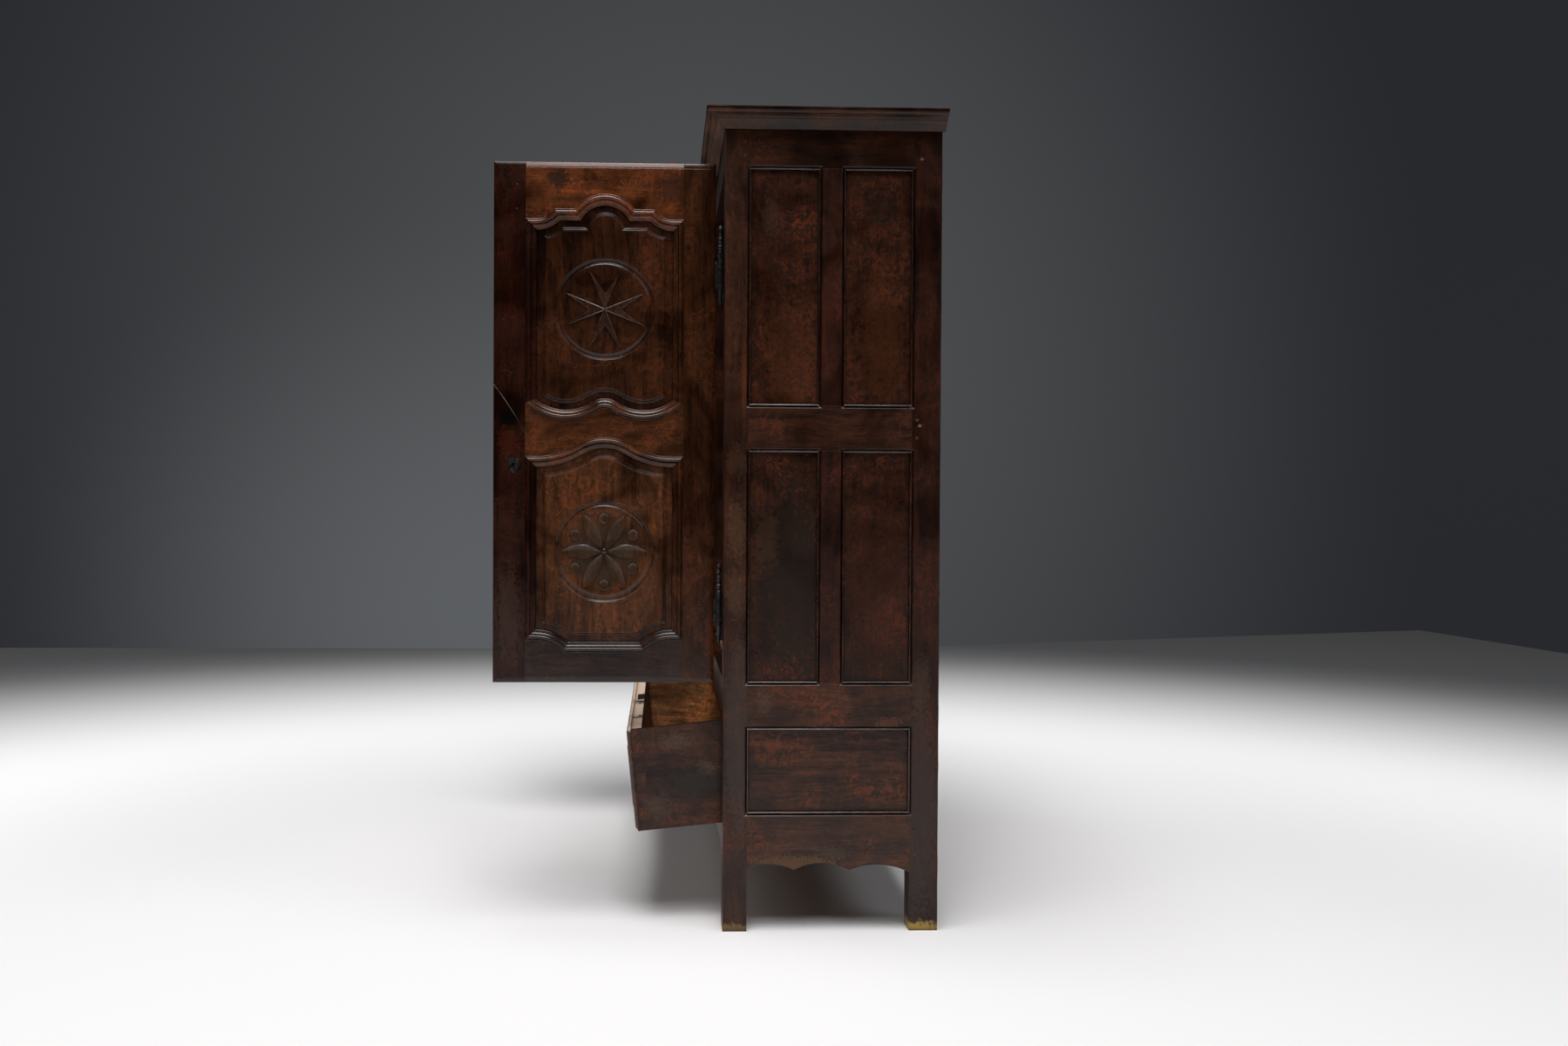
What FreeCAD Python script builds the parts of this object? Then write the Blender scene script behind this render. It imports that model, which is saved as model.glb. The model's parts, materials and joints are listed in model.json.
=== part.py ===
import FreeCAD, Part
import math
import os

import Sketcher

# A two-door walnut press with one long drawer, shown with both doors open and the drawer out.
# The front looks towards -Y, the right-hand side towards +X, and the feet stand on Z = 0.

doc = FreeCAD.newDocument("cabinet")
sheet = doc.addObject("Spreadsheet::Sheet", "sizes")

SIZES = {
    # Carcase
    "total_height": 2080,
    "body_width": 1280,
    "body_depth": 550,
    "front_post_width": 80,
    "front_post_depth": 61,
    "rear_post_width": 60,
    "rear_post_depth": 73,
    "side_frame_thickness": 28,
    "front_rail_thickness": 30,
    "tenon_thickness": 10,
    "tenon_length": 30,
    "tenon_shoulder": 12,
    # Side frame levels, as heights above the floor
    "side_top_rail_height": 112,
    "side_middle_rail_top": 1340,
    "side_middle_rail_foot": 1224,
    "side_lower_rail_top": 634,
    "side_lower_rail_foot": 517,
    "side_apron_top": 301,
    "side_apron_low": 150,
    "muntin_width": 62,
    "front_panel_width": 179,
    "side_panel_thickness": 12,
    "side_panel_sink": 9,
    "side_panel_groove": 8,
    "panel_chamfer_width": 7,
    "panel_chamfer_depth": 6,
    "peg_radius": 4,
    "peg_proud": 1,
    "peg_length": 24,
    "peg_inset": 13,
    # Cornice
    "cornice_height": 44,
    "cornice_reach": 51,
    "cornice_rear_over": 7,
    "carcase_head": 28,
    "top_board_thickness": 18,
    "board_gap": 1.5,
    # Doors
    "door_foot": 627,
    "frieze_height": 98,
    "door_thickness": 31,
    "door_lip_thickness": 10.5,
    "door_lip": 11,
    "door_play": 2,
    "door_meeting_gap": 2,
    "door_bead_width": 11,
    "door_bead_quirk": 15,
    "door_bead_drop": 6,
    "door_quirk_drop": 1.5,
    "door_tongue_thickness": 9,
    "door_tongue_sink": 12,
    "door_groove": 9,
    "door_tenon_length": 55,
    "door_tenon_shoulder": 14,
    # Door openings
    "sight_width": 352,
    "moulding_width": 27,
    "upper_apex_drop": 109,
    "upper_shelf_drop": 39,
    "upper_corner_drop": 64,
    "upper_scoop_radius": 84,
    "upper_crown_radius": 70,
    "middle_rail_waist": 98,
    "lobe_offset": 100,
    "lobe_radius": 120,
    "lobe_crown_radius": 63,
    "lower_corner_drop": 49,
    "ogee_crown_radius": 105,
    "lower_foot": 104,
    "lower_corner_rise": 32,
    "lower_scoop_radius": 125,
    "contour_sliver": 1,
    # Moulding around the door openings, heights above or below the face of the frame
    "moulding_edge_rise": 2,
    "moulding_crest_rise": 5,
    "moulding_crest_out": 22,
    "moulding_crest_in": 18,
    "moulding_step_rise": 3,
    "moulding_quirk": 9,
    "moulding_quirk_rise": 0.5,
    "moulding_quirk_fall": 1.5,
    "moulding_sight_fall": 8,
    # Raised fields and medallions of the door panels
    "field_margin": 19,
    "field_bevel": 6,
    "field_sink": 6,
    "medallion_depth": 5,
    "medallion_ground_depth": 2,
    "relief_height": 3.5,
    # Hinges
    "hinge_forward": 10.5,
    "hinge_gap": 12,
    "hinge_face_gap": 0.5,
    "upper_hinge_drop": 320,
    "lower_hinge_rise": 146,
    "barrel_radius": 8,
    "barrel_length": 85,
    "barrel_play": 0.5,
    "pin_radius": 4,
    "pin_play": 0.05,
    "tail_length": 45,
    "tail_tip_radius": 3,
    "leaf_thickness": 3,
    "leaf_depth": 34,
    "leaf_height": 70,
    "frame_leaf_height": 36,
    "finial_height": 76,
    # Lock of the right door, bolts of the left door
    "lock_rise": 6,
    "lock_backset": 53,
    "lock_case_height": 92,
    "lock_case_width": 68,
    "lock_case_depth": 17,
    "lock_wall": 2,
    "lock_bolt_height": 22,
    "lock_bolt_thickness": 8,
    "lock_bolt_throw": 14,
    "iron_play": 0.3,
    "keyhole_radius": 4,
    "keyhole_drop": 13,
    "keyhole_slot": 3,
    "plate_thickness": 1.5,
    "plate_width": 30,
    "plate_height": 42,
    "slide_bolt_length": 170,
    "slide_bolt_width": 12,
    "slide_bolt_thickness": 8,
    "slide_bolt_throw": 25,
    "slide_bolt_inset": 34,
    "slide_bolt_stand": 1,
    "staple_wall": 3,
    "staple_height": 16,
    "staple_inset": 22,
    # Inside
    "cupboard_floor_thickness": 20,
    "bearer_width": 30,
    "bearer_height": 27,
    "shelf_thickness": 20,
    "lower_shelf_height": 1070,
    "upper_shelf_height": 1500,
    "cleat_width": 20,
    "cleat_height": 26,
    "runner_width": 40,
    "runner_height": 30,
    "guide_width": 14,
    "guide_height": 36,
    "back_rail_thickness": 26,
    "back_rail_height": 80,
    "back_rail_foot": 235,
    "back_middle_rail_foot": 1180,
    "back_plank_thickness": 18,
    "back_rebate": 8,
    "back_plank_inset": 4,
    # Drawer
    "drawer_opening_foot": 256,
    "drawer_opening_height": 273,
    "drawer_lip_side": 2,
    "drawer_lip_head": 5,
    "drawer_lip_thickness": 11,
    "drawer_recess": 1,
    "drawer_front_thickness": 28,
    "drawer_side_thickness": 22,
    "drawer_side_play": 3,
    "drawer_head_play": 6.5,
    "drawer_length": 495,
    "drawer_back_thickness": 18,
    "drawer_back_drop": 25,
    "drawer_bottom_thickness": 10,
    "drawer_bottom_rise": 12,
    "drawer_groove": 8,
    "drawer_pin_height": 34,
    "drawer_bead_width": 10,
    "drawer_bead_drop": 7,
    "drawer_field_margin": 46,
    "drawer_field_gap": 70,
    "drawer_field_bevel": 12,
    "drawer_field_rise": 4,
    "drawer_lock_width": 90,
    "drawer_lock_height": 62,
    "drawer_lock_thickness": 13,
    "drawer_lock_lip": 3,
    "drawer_lock_wing": 7,
    "roller_radius": 6,
    "roller_play": 0.3,
    "roller_proud": 1.7,
    "roller_inset": 9,
    "drawer_out": 224,
    "front_apron_low": 160,
}

for row, (alias, value) in enumerate(SIZES.items(), start=1):
    sheet.set(f"A{row}", alias)
    sheet.set(f"B{row}", str(value))
    sheet.setAlias(f"B{row}", alias)
doc.recompute()

# Turns, in degrees
QUARTER = 90
HALF_QUARTER = 45
DRAWER_DROOP = 5.75

# Shares of the height of a door: where its middle rail lies and how large a medallion is
MIDDLE_SHARE = 0.4888
MEDALLION_SHARE = 0.0979

# Shares of the height of an opening, from its foot to the middle of its medallion
MEDALLION_UP_SHARES = {"upper": 0.492, "lower": 0.467}

# Shares of the radius of a medallion
MOAT_FLOOR_SHARE = 0.947
DISC_SHARE = 0.908
GROUND_SHARE = 0.847
CROSS_SHARES = {"tip": 0.83, "notch": 0.3, "waist": 0.05}
PETAL_SHARES = {"reach": 0.847, "root": 0.06, "half_width": 0.118}
HEART_SHARE = 0.09
BOSS_SHARE = 0.115
BOSS_CIRCLE_SHARE = 0.657

# Counts
BACK_PLANKS = 6
TOP_BOARDS = 3
PETALS = 6
DRAWER_PINS = 3


class Size:
    """A length of the piece: the text that ties it to the sheet, and its value."""

    def __init__(self, text, value):
        self.text = text
        self.value = value

    def __add__(self, other):
        other = as_size(other)
        return Size(f"({self.text} + {other.text})", self.value + other.value)

    def __sub__(self, other):
        other = as_size(other)
        return Size(f"({self.text} - {other.text})", self.value - other.value)

    def __rsub__(self, other):
        return as_size(other) - self

    def __mul__(self, factor):
        return Size(f"({self.text} * {factor})", self.value * factor)

    def __truediv__(self, factor):
        return Size(f"({self.text} / {factor})", self.value / factor)

    def __neg__(self):
        return Size(f"(0 - {self.text})", -self.value)


def as_size(length):
    """A length as it is, or a plain zero as a length."""
    return length if isinstance(length, Size) else Size(str(length), float(length))


class Sheet:
    """The named lengths, read as attributes."""

    def __getattr__(self, name):
        return Size(f"sizes.{name}", float(SIZES[name]))


S = Sheet()
PARTS = []


def block(low, high):
    """A block from its low corner to its high corner."""
    thing = doc.addObject("Part::Box", "block")
    for side, start, end, axis in zip(("Length", "Width", "Height"), low, high, "xyz"):
        thing.setExpression(side, (as_size(end) - start).text)
        thing.setExpression("Placement.Base." + axis, as_size(start).text)
    return thing


TURNS = {
    "x": FreeCAD.Rotation(FreeCAD.Vector(0, 1, 0), QUARTER),
    "y": FreeCAD.Rotation(FreeCAD.Vector(1, 0, 0), -QUARTER),
    "z": FreeCAD.Rotation(),
    "side": FreeCAD.Rotation(FreeCAD.Vector(0, 0, 1), -QUARTER),
}


def rod(start, radius, length, along="z", tip=None):
    """A round bar from a point along an axis, tapered when its tip has a radius of its own."""
    thing = doc.addObject("Part::Cylinder" if tip is None else "Part::Cone", "rod")
    thing.Placement = FreeCAD.Placement(FreeCAD.Vector(), TURNS[along])
    if tip is None:
        thing.setExpression("Radius", radius.text)
    else:
        thing.setExpression("Radius1", radius.text)
        thing.setExpression("Radius2", tip.text)
    thing.setExpression("Height", length.text)
    for place, axis in zip(start, "xyz"):
        thing.setExpression("Placement.Base." + axis, as_size(place).text)
    return thing


def splay(near, far, low, high, grow_near, grow_far):
    """A four-sided taper along X between two upright rectangles, each grown by its own amount."""
    thing = doc.addObject("Part::Wedge", "splay")
    thing.Placement = FreeCAD.Placement(FreeCAD.Vector(), TURNS["side"])
    bounds = {
        "Ymin": near,
        "Ymax": far,
        "Xmin": -(high[0] + grow_near),
        "Xmax": -(low[0] - grow_near),
        "X2min": -(high[0] + grow_far),
        "X2max": -(low[0] - grow_far),
        "Zmin": low[1] - grow_near,
        "Zmax": high[1] + grow_near,
        "Z2min": low[1] - grow_far,
        "Z2max": high[1] + grow_far,
    }
    for name, size in bounds.items():
        thing.setExpression(name, size.text)
    return thing


def joined(things):
    """Several shapes as one."""
    if len(things) == 1:
        return things[0]
    thing = doc.addObject("Part::MultiFuse", "joined")
    thing.Shapes = things
    return thing


def pared(base, tools):
    """A shape with others taken out of it."""
    thing = doc.addObject("Part::Cut", "pared")
    thing.Base = base
    thing.Tool = joined(tools)
    return thing


def shared(first, second):
    """What two shapes have in common."""
    thing = doc.addObject("Part::Common", "shared")
    thing.Base = first
    thing.Tool = second
    return thing


def mirrored(source):
    """The same piece on the other side of the middle plane."""
    thing = doc.addObject("Part::Mirroring", "mirrored")
    thing.Source = source
    thing.Normal = FreeCAD.Vector(1, 0, 0)
    return thing


def grouped(things):
    """Separate solids in one node."""
    thing = doc.addObject("Part::Compound", "grouped")
    thing.Links = things
    return thing


def formed(shape):
    """A shape that is lofted or swept from lines and arcs."""
    thing = doc.addObject("Part::Feature", "formed")
    thing.Shape = shape
    return thing


def keep(label, thing):
    """Name a sub-part and put it on the list of those that are written."""
    thing.Label = label
    PARTS.append(thing)
    return thing


def wire_of(points):
    """A closed outline through points in order."""
    return Part.makePolygon(list(points) + [points[0]])


def slab_of(wire, direction):
    """A flat outline given a thickness."""
    return Part.Face(wire).extrude(direction)


# Places that the rest is set out from

half_body = S.body_width / 2
opening_half = half_body - S.front_post_width
door_width = opening_half + S.door_lip - S.door_meeting_gap / 2
hinge_x = opening_half + S.door_lip + S.hinge_gap
front_reach = S.hinge_forward + S.hinge_gap + door_width
rear_reach = S.body_depth + S.cornice_rear_over
front_y = (front_reach - rear_reach) / 2
rear_y = front_y + S.body_depth
front_post_y = front_y + S.front_post_depth
rear_post_y = rear_y - S.rear_post_depth
side_inner_x = half_body - S.side_frame_thickness
rear_post_x = half_body - S.rear_post_width
cornice_foot = S.total_height - S.cornice_height
carcase_top = S.total_height - S.carcase_head
side_top_rail_foot = carcase_top - S.side_top_rail_height
frieze_foot = carcase_top - S.frieze_height
door_height = frieze_foot + S.door_lip - S.door_foot
middle_rail_foot = S.drawer_opening_foot + S.drawer_opening_height
middle_rail_top = S.door_foot + S.door_lip
upper_apex = door_height - S.upper_apex_drop
upper_shelf = upper_apex - S.upper_shelf_drop
upper_corner = upper_apex - S.upper_corner_drop
upper_low = door_height * MIDDLE_SHARE + S.middle_rail_waist / 2
lower_apex = upper_low - S.middle_rail_waist
lower_corner = lower_apex - S.lower_corner_drop
lower_foot_corner = S.lower_foot + S.lower_corner_rise
muntin_near = front_post_y + S.front_panel_width
muntin_far = muntin_near + S.muntin_width


# Side frames: rails, muntins, panels and pegs of the right-hand side

tenon_low_x = half_body - (S.side_frame_thickness + S.tenon_thickness) / 2
tenon_high_x = tenon_low_x + S.tenon_thickness


def side_rail(foot, top):
    """A rail between the posts of the right-hand side, with a tenon at each end."""
    body = block((side_inner_x, front_post_y, foot), (half_body, rear_post_y, top))
    tenon = block(
        (tenon_low_x, front_post_y - S.tenon_length, foot + S.tenon_shoulder),
        (tenon_high_x, rear_post_y + S.tenon_length, top - S.tenon_shoulder),
    )
    return joined([body, tenon])


def muntin(foot, top):
    """An upright between two rails of the right-hand side, with stub tenons."""
    body = block((side_inner_x, muntin_near, foot), (half_body, muntin_far, top))
    tenon = block(
        (tenon_low_x, muntin_near + S.tenon_shoulder, foot - S.tenon_length),
        (tenon_high_x, muntin_far - S.tenon_shoulder, top + S.tenon_length),
    )
    return joined([body, tenon])


def side_panel(low, high):
    """A thin panel of the right-hand side, with its edges in the grooves of the frame."""
    outer_x = half_body - S.side_panel_sink
    return block(
        (outer_x - S.side_panel_thickness, low[0] - S.side_panel_groove, low[1] - S.side_panel_groove),
        (outer_x, high[0] + S.side_panel_groove, high[1] + S.side_panel_groove),
    )


upper_lights = [
    ((front_post_y, S.side_middle_rail_top), (muntin_near, side_top_rail_foot)),
    ((muntin_far, S.side_middle_rail_top), (rear_post_y, side_top_rail_foot)),
]
lower_lights = [
    ((front_post_y, S.side_lower_rail_top), (muntin_near, S.side_middle_rail_foot)),
    ((muntin_far, S.side_lower_rail_top), (rear_post_y, S.side_middle_rail_foot)),
]
foot_light = ((front_post_y, S.side_apron_top), (rear_post_y, S.side_lower_rail_foot))

upright_panels = [side_panel(low, high) for low, high in upper_lights + lower_lights]
foot_panel = side_panel(*foot_light)
chamfers = [
    splay(half_body - S.panel_chamfer_depth, half_body, low, high, as_size(0), S.panel_chamfer_width)
    for low, high in upper_lights + lower_lights + [foot_light]
]

raw_top_rail = side_rail(side_top_rail_foot, carcase_top)
raw_middle_rail = side_rail(S.side_middle_rail_foot, S.side_middle_rail_top)
raw_lower_rail = side_rail(S.side_lower_rail_foot, S.side_lower_rail_top)
raw_apron = side_rail(S.side_apron_low, S.side_apron_top)
upper_muntin = muntin(S.side_middle_rail_top, side_top_rail_foot)
lower_muntin = muntin(S.side_lower_rail_top, S.side_middle_rail_foot)


def peg_pair(place_y, foot, top):
    """Two pegs, one above the other, through a post and the tenon in it."""
    spread = (top - foot - S.tenon_shoulder * 2) / 4
    heights = (foot + S.tenon_shoulder + spread, top - S.tenon_shoulder - spread)
    inner_x = half_body + S.peg_proud - S.peg_length
    return [rod((inner_x, place_y, height), S.peg_radius, S.peg_length, "x") for height in heights]


rail_levels = [
    (side_top_rail_foot, cornice_foot),
    (S.side_middle_rail_foot, S.side_middle_rail_top),
    (S.side_lower_rail_foot, S.side_lower_rail_top),
    (S.side_apron_low, S.side_apron_top),
]
side_pegs = []
for foot, top in rail_levels:
    side_pegs += peg_pair(front_post_y - S.peg_inset, foot, top)
    side_pegs += peg_pair(rear_post_y + S.peg_inset, foot, top)

# Lower edge of a side apron: three shallow arches, as shares of the run between the posts and as
# shares of the height of the apron
SIDE_SCALLOP_SHARES = [
    (0.0, 0.09), (0.11, 0.15), (0.29, 0.04), (0.46, 0.165), (0.63, 0.038), (0.82, 0.13), (1.0, 0.0),
]
# The same for half of the front apron, from a post to the middle, where it is mirrored
FRONT_SCALLOP_SHARES = [(0.0, 0.05), (0.08, 0.3), (0.2, 0.08), (0.27, 0.24), (0.34, 0.12), (0.5, 0.5)]


def scallop_tool(places, floor, direction):
    """What is sawn from under an apron: arcs through each three places, closed along a low line."""
    edges = []
    for start in range(0, len(places) - 2, 2):
        edges.append(Part.Arc(*places[start:start + 3]).toShape())
    first, last = places[0], places[-1]
    low_last = FreeCAD.Vector(last.x, last.y, floor)
    low_first = FreeCAD.Vector(first.x, first.y, floor)
    edges.append(Part.makeLine(last, low_last))
    edges.append(Part.makeLine(low_last, low_first))
    edges.append(Part.makeLine(low_first, first))
    return formed(slab_of(Part.Wire(edges), direction))


side_run = rear_post_y.value - front_post_y.value
side_apron_height = SIZES["side_apron_top"] - SIZES["side_apron_low"]
side_scallop = scallop_tool(
    [
        FreeCAD.Vector(
            side_inner_x.value,
            front_post_y.value + along * side_run,
            SIZES["side_apron_low"] + up * side_apron_height,
        )
        for along, up in SIDE_SCALLOP_SHARES
    ],
    SIZES["side_apron_low"] - SIZES["tenon_length"],
    FreeCAD.Vector(SIZES["side_frame_thickness"], 0, 0),
)

side_fill = joined(upright_panels + [foot_panel] + chamfers + side_pegs)
muntins = joined([upper_muntin, lower_muntin])


def both_sides(label, piece):
    """A right-hand piece and its mirror image in one node."""
    return keep(label, grouped([piece, mirrored(piece)]))


both_sides("side_top_rails", pared(raw_top_rail, [side_fill, muntins]))
both_sides("side_middle_rails", pared(raw_middle_rail, [side_fill, muntins]))
both_sides("side_lower_rails", pared(raw_lower_rail, [side_fill, muntins]))
both_sides("side_aprons", pared(raw_apron, [side_fill, side_scallop]))
pared_muntins = [pared(upper_muntin, [side_fill]), pared(lower_muntin, [side_fill])]
keep("side_muntins", grouped(pared_muntins + [mirrored(piece) for piece in pared_muntins]))
keep("side_panels_right", grouped(upright_panels))
keep("side_panels_left", grouped([mirrored(panel) for panel in upright_panels]))
both_sides("side_bottom_panels", foot_panel)
keep("frame_pegs", grouped(side_pegs + [mirrored(peg) for peg in side_pegs]))


# Front rails

front_tenon_near = front_y + S.tenon_shoulder


def front_rail(foot, top):
    """A rail across the front, with a tenon at each end."""
    body = block((-opening_half, front_y, foot), (opening_half, front_y + S.front_rail_thickness, top))
    tenon = block(
        (-(opening_half + S.tenon_length), front_tenon_near, foot + S.tenon_shoulder),
        (opening_half + S.tenon_length, front_tenon_near + S.tenon_thickness, top - S.tenon_shoulder),
    )
    return joined([body, tenon])


raw_frieze = front_rail(frieze_foot, carcase_top)
raw_front_middle = front_rail(middle_rail_foot, middle_rail_top)
raw_front_apron = front_rail(S.front_apron_low, S.drawer_opening_foot)

front_apron_height = SIZES["drawer_opening_foot"] - SIZES["front_apron_low"]
half_run = [
    FreeCAD.Vector(
        (2 * along - 1) * opening_half.value,
        front_y.value,
        SIZES["front_apron_low"] + up * front_apron_height,
    )
    for along, up in FRONT_SCALLOP_SHARES
]
other_half = [FreeCAD.Vector(-place.x, place.y, place.z) for place in reversed(half_run[:-1])]
front_scallop = scallop_tool(
    half_run + other_half,
    SIZES["front_apron_low"] - SIZES["tenon_length"],
    FreeCAD.Vector(0, SIZES["front_rail_thickness"], 0),
)


# Drawer rollers, let into the front apron near its front edge. The drawer rocks about their axis.

drawer_half = opening_half - S.drawer_side_play
roller_y = front_y + S.roller_inset
roller_z = S.drawer_opening_foot + S.roller_proud - S.roller_radius
drawer_foot = roller_z + S.roller_radius + S.roller_play
roller_start = drawer_half - S.drawer_side_thickness


def roller(radius, length):
    """A short round bar under the right-hand side of the drawer."""
    return rod((roller_start, roller_y, roller_z), radius, length, "x")


right_roller = roller(S.roller_radius, S.drawer_side_thickness)
roller_bed = roller(S.roller_radius + S.roller_play, S.drawer_side_thickness)
both_sides("drawer_rollers", right_roller)


# Slide bolts of the left door, and the holes that they are shot into

bolt_far = S.door_thickness + S.slide_bolt_stand + S.slide_bolt_thickness
door_left_face = -(hinge_x + S.hinge_face_gap)
door_edge_y = front_y - S.hinge_forward - S.hinge_gap
free_edge_y = door_edge_y - door_width
slide_bolt_y = free_edge_y + S.slide_bolt_inset
door_body_foot = S.door_foot + S.door_lip + S.door_play
door_body_top = S.door_foot + door_height - S.door_lip - S.door_play


def slide_bolt(foot, grow):
    """A flat bolt on the inner face of the left door, or the space that it needs."""
    inner_x = door_left_face + S.door_thickness + S.slide_bolt_stand
    return block(
        (inner_x - grow, slide_bolt_y - grow, foot - grow),
        (
            inner_x + S.slide_bolt_thickness + grow,
            slide_bolt_y + S.slide_bolt_width + grow,
            foot + S.slide_bolt_length + grow,
        ),
    )


upper_bolt_foot = door_body_top - S.slide_bolt_length
lower_bolt_foot = door_body_foot


def bolt_hole(foot, top):
    """The hole in a front rail behind which a bolt of the closed left door comes to lie."""
    near = front_y - S.door_lip_thickness - S.hinge_face_gap + S.door_thickness
    middle = -(S.door_meeting_gap / 2 + S.slide_bolt_inset + S.slide_bolt_width / 2)
    reach = S.slide_bolt_width / 2 + S.door_play
    return block(
        (middle - reach, near + S.slide_bolt_stand - S.slide_bolt_stand / 2, foot),
        (middle + reach, near + S.slide_bolt_stand + S.slide_bolt_thickness + S.door_play, top),
    )


keep("front_top_rail", pared(raw_frieze, [bolt_hole(frieze_foot, frieze_foot + S.slide_bolt_throw)]))
keep(
    "front_middle_rail",
    pared(raw_front_middle, [bolt_hole(middle_rail_top - S.slide_bolt_throw, middle_rail_top)]),
)
keep("front_apron", pared(raw_front_apron, [front_scallop, roller_bed, mirrored(roller_bed)]))


# Back: three rails between the rear posts and upright planks behind them

back_rail_near = rear_y - S.back_plank_inset - S.back_plank_thickness - S.back_rail_thickness
back_rail_far = back_rail_near + S.back_rail_thickness
back_top_foot = carcase_top - S.back_rail_height


def back_rail(foot):
    """A rail between the rear posts, with a tenon at each end."""
    body = block(
        (-rear_post_x, back_rail_near, foot),
        (rear_post_x, back_rail_far, foot + S.back_rail_height),
    )
    near = back_rail_near + (S.back_rail_thickness - S.tenon_thickness) / 2
    tenon = block(
        (-(rear_post_x + S.tenon_length), near, foot + S.tenon_shoulder),
        (
            rear_post_x + S.tenon_length,
            near + S.tenon_thickness,
            foot + S.back_rail_height - S.tenon_shoulder,
        ),
    )
    return joined([body, tenon])


back_rails = [back_rail(foot) for foot in (S.back_rail_foot, S.back_middle_rail_foot, back_top_foot)]
keep("back_rails", grouped(back_rails))

plank_reach = rear_post_x + S.back_rebate
plank_width = (plank_reach * 2 - S.board_gap * (BACK_PLANKS - 1)) / BACK_PLANKS
planks = []
for number in range(BACK_PLANKS):
    start = (plank_width + S.board_gap) * number - plank_reach
    planks.append(
        block(
            (start, back_rail_far, S.back_rail_foot),
            (start + plank_width, back_rail_far + S.back_plank_thickness, carcase_top),
        )
    )
keep("back_planks", grouped(planks))
plank_rebate = block(
    (rear_post_x, back_rail_far, S.back_rail_foot),
    (plank_reach, rear_y, carcase_top),
)


# Hinges: a frame half let into the post, a door half let into the edge of the door, and a pin

hinge_y = front_y - S.hinge_forward
door_face_x = hinge_x + S.hinge_face_gap


def frame_knuckle(height):
    """The lower half of a hinge: a tapered tail with its leaf in the post, bored for the pin."""
    tail_start = (hinge_x, hinge_y, height - S.tail_length)
    tail = rod(tail_start, S.tail_tip_radius, S.tail_length, tip=S.barrel_radius)
    leaf = frame_leaf(height)
    bore = rod((hinge_x, hinge_y, height - S.frame_leaf_height), S.pin_radius, S.frame_leaf_height)
    return pared(joined([tail, leaf]), [bore])


def frame_leaf(height):
    """The flat leaf that is driven into the front face of the post."""
    return block(
        (hinge_x - S.leaf_thickness / 2, hinge_y, height - S.frame_leaf_height),
        (hinge_x + S.leaf_thickness / 2, front_y + S.leaf_depth, height),
    )


def door_leaf(height):
    """The flat leaf that is let into the edge of the open door."""
    outer_x = hinge_x - S.barrel_radius + S.leaf_thickness
    return block(
        (outer_x - S.leaf_thickness, door_edge_y - S.leaf_depth, height + S.barrel_play),
        (outer_x, hinge_y, height + S.barrel_play + S.leaf_height),
    )


def door_knuckle(height):
    """The upper half of a hinge: a barrel on the leaf, bored to turn on the pin."""
    start = (hinge_x, hinge_y, height + S.barrel_play)
    barrel = rod(start, S.barrel_radius, S.barrel_length)
    bore = rod(start, S.pin_radius + S.pin_play, S.barrel_length)
    return pared(joined([barrel, door_leaf(height)]), [bore])


# Half outline of a turned finial: shares of the barrel's radius, and of the finial's height
FINIAL_SHARES = [
    (1.0, 0.0), (1.0, 0.06), (0.7, 0.1), (0.7, 0.14), (1.05, 0.19), (1.05, 0.27), (0.65, 0.32),
    (0.65, 0.36), (0.95, 0.44), (1.0, 0.5), (0.8, 0.57), (0.35, 0.62), (0.35, 0.65), (0.85, 0.72),
    (1.0, 0.8), (0.9, 0.88), (0.5, 0.96),
]


def origin_plane(body, role):
    """One of the planes of a body's own origin."""
    return [plane for plane in body.Origin.OriginFeatures if plane.Role == role][0]


def outline(body, role, places):
    """A closed sketch through places, each held at its distances from the sketch's origin."""
    sketch = body.newObject("Sketcher::SketchObject", "outline")
    sketch.AttachmentSupport = [(origin_plane(body, role), "")]
    sketch.MapMode = "FlatFace"
    spots = [FreeCAD.Vector(across.value, up.value, 0) for across, up in places]
    count = len(spots)
    for number in range(count):
        sketch.addGeometry(Part.LineSegment(spots[number], spots[(number + 1) % count]))
    for number in range(count):
        sketch.addConstraint(Sketcher.Constraint("Coincident", number, 2, (number + 1) % count, 1))
    for number, place in enumerate(places):
        for kind, axis, size in zip(("DistanceX", "DistanceY"), (-2, -1), place):
            if size.value == 0:
                sketch.addConstraint(Sketcher.Constraint("PointOnObject", number, 1, axis))
                continue
            index = sketch.addConstraint(Sketcher.Constraint(kind, -1, 1, number, 1, size.value))
            sketch.setExpression(f"Constraints[{index}]", size.text)
    return sketch


def hinge_pin(height):
    """The pin of a hinge with the finial turned on its upper end."""
    body = doc.addObject("PartDesign::Body", "pin")
    shank = S.frame_leaf_height + S.barrel_play + S.barrel_length
    places = [(as_size(0), as_size(0)), (S.pin_radius, as_size(0)), (S.pin_radius, shank)]
    for wide, high in FINIAL_SHARES:
        places.append((S.barrel_radius * wide, shank + S.barrel_play + S.finial_height * high))
    places.insert(3, (S.pin_radius, shank + S.barrel_play))
    places.pop(2)
    places.append((as_size(0), shank + S.barrel_play + S.finial_height))
    sketch = outline(body, "XZ_Plane", places)
    turned = body.newObject("PartDesign::Revolution", "turned")
    turned.Profile = sketch
    turned.ReferenceAxis = (sketch, ["V_Axis"])
    turned.Angle = 4 * QUARTER
    body.Tip = turned
    for axis, place in zip("xyz", (hinge_x, hinge_y, height - S.frame_leaf_height)):
        body.setExpression("Placement.Base." + axis, place.text)
    return body


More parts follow.
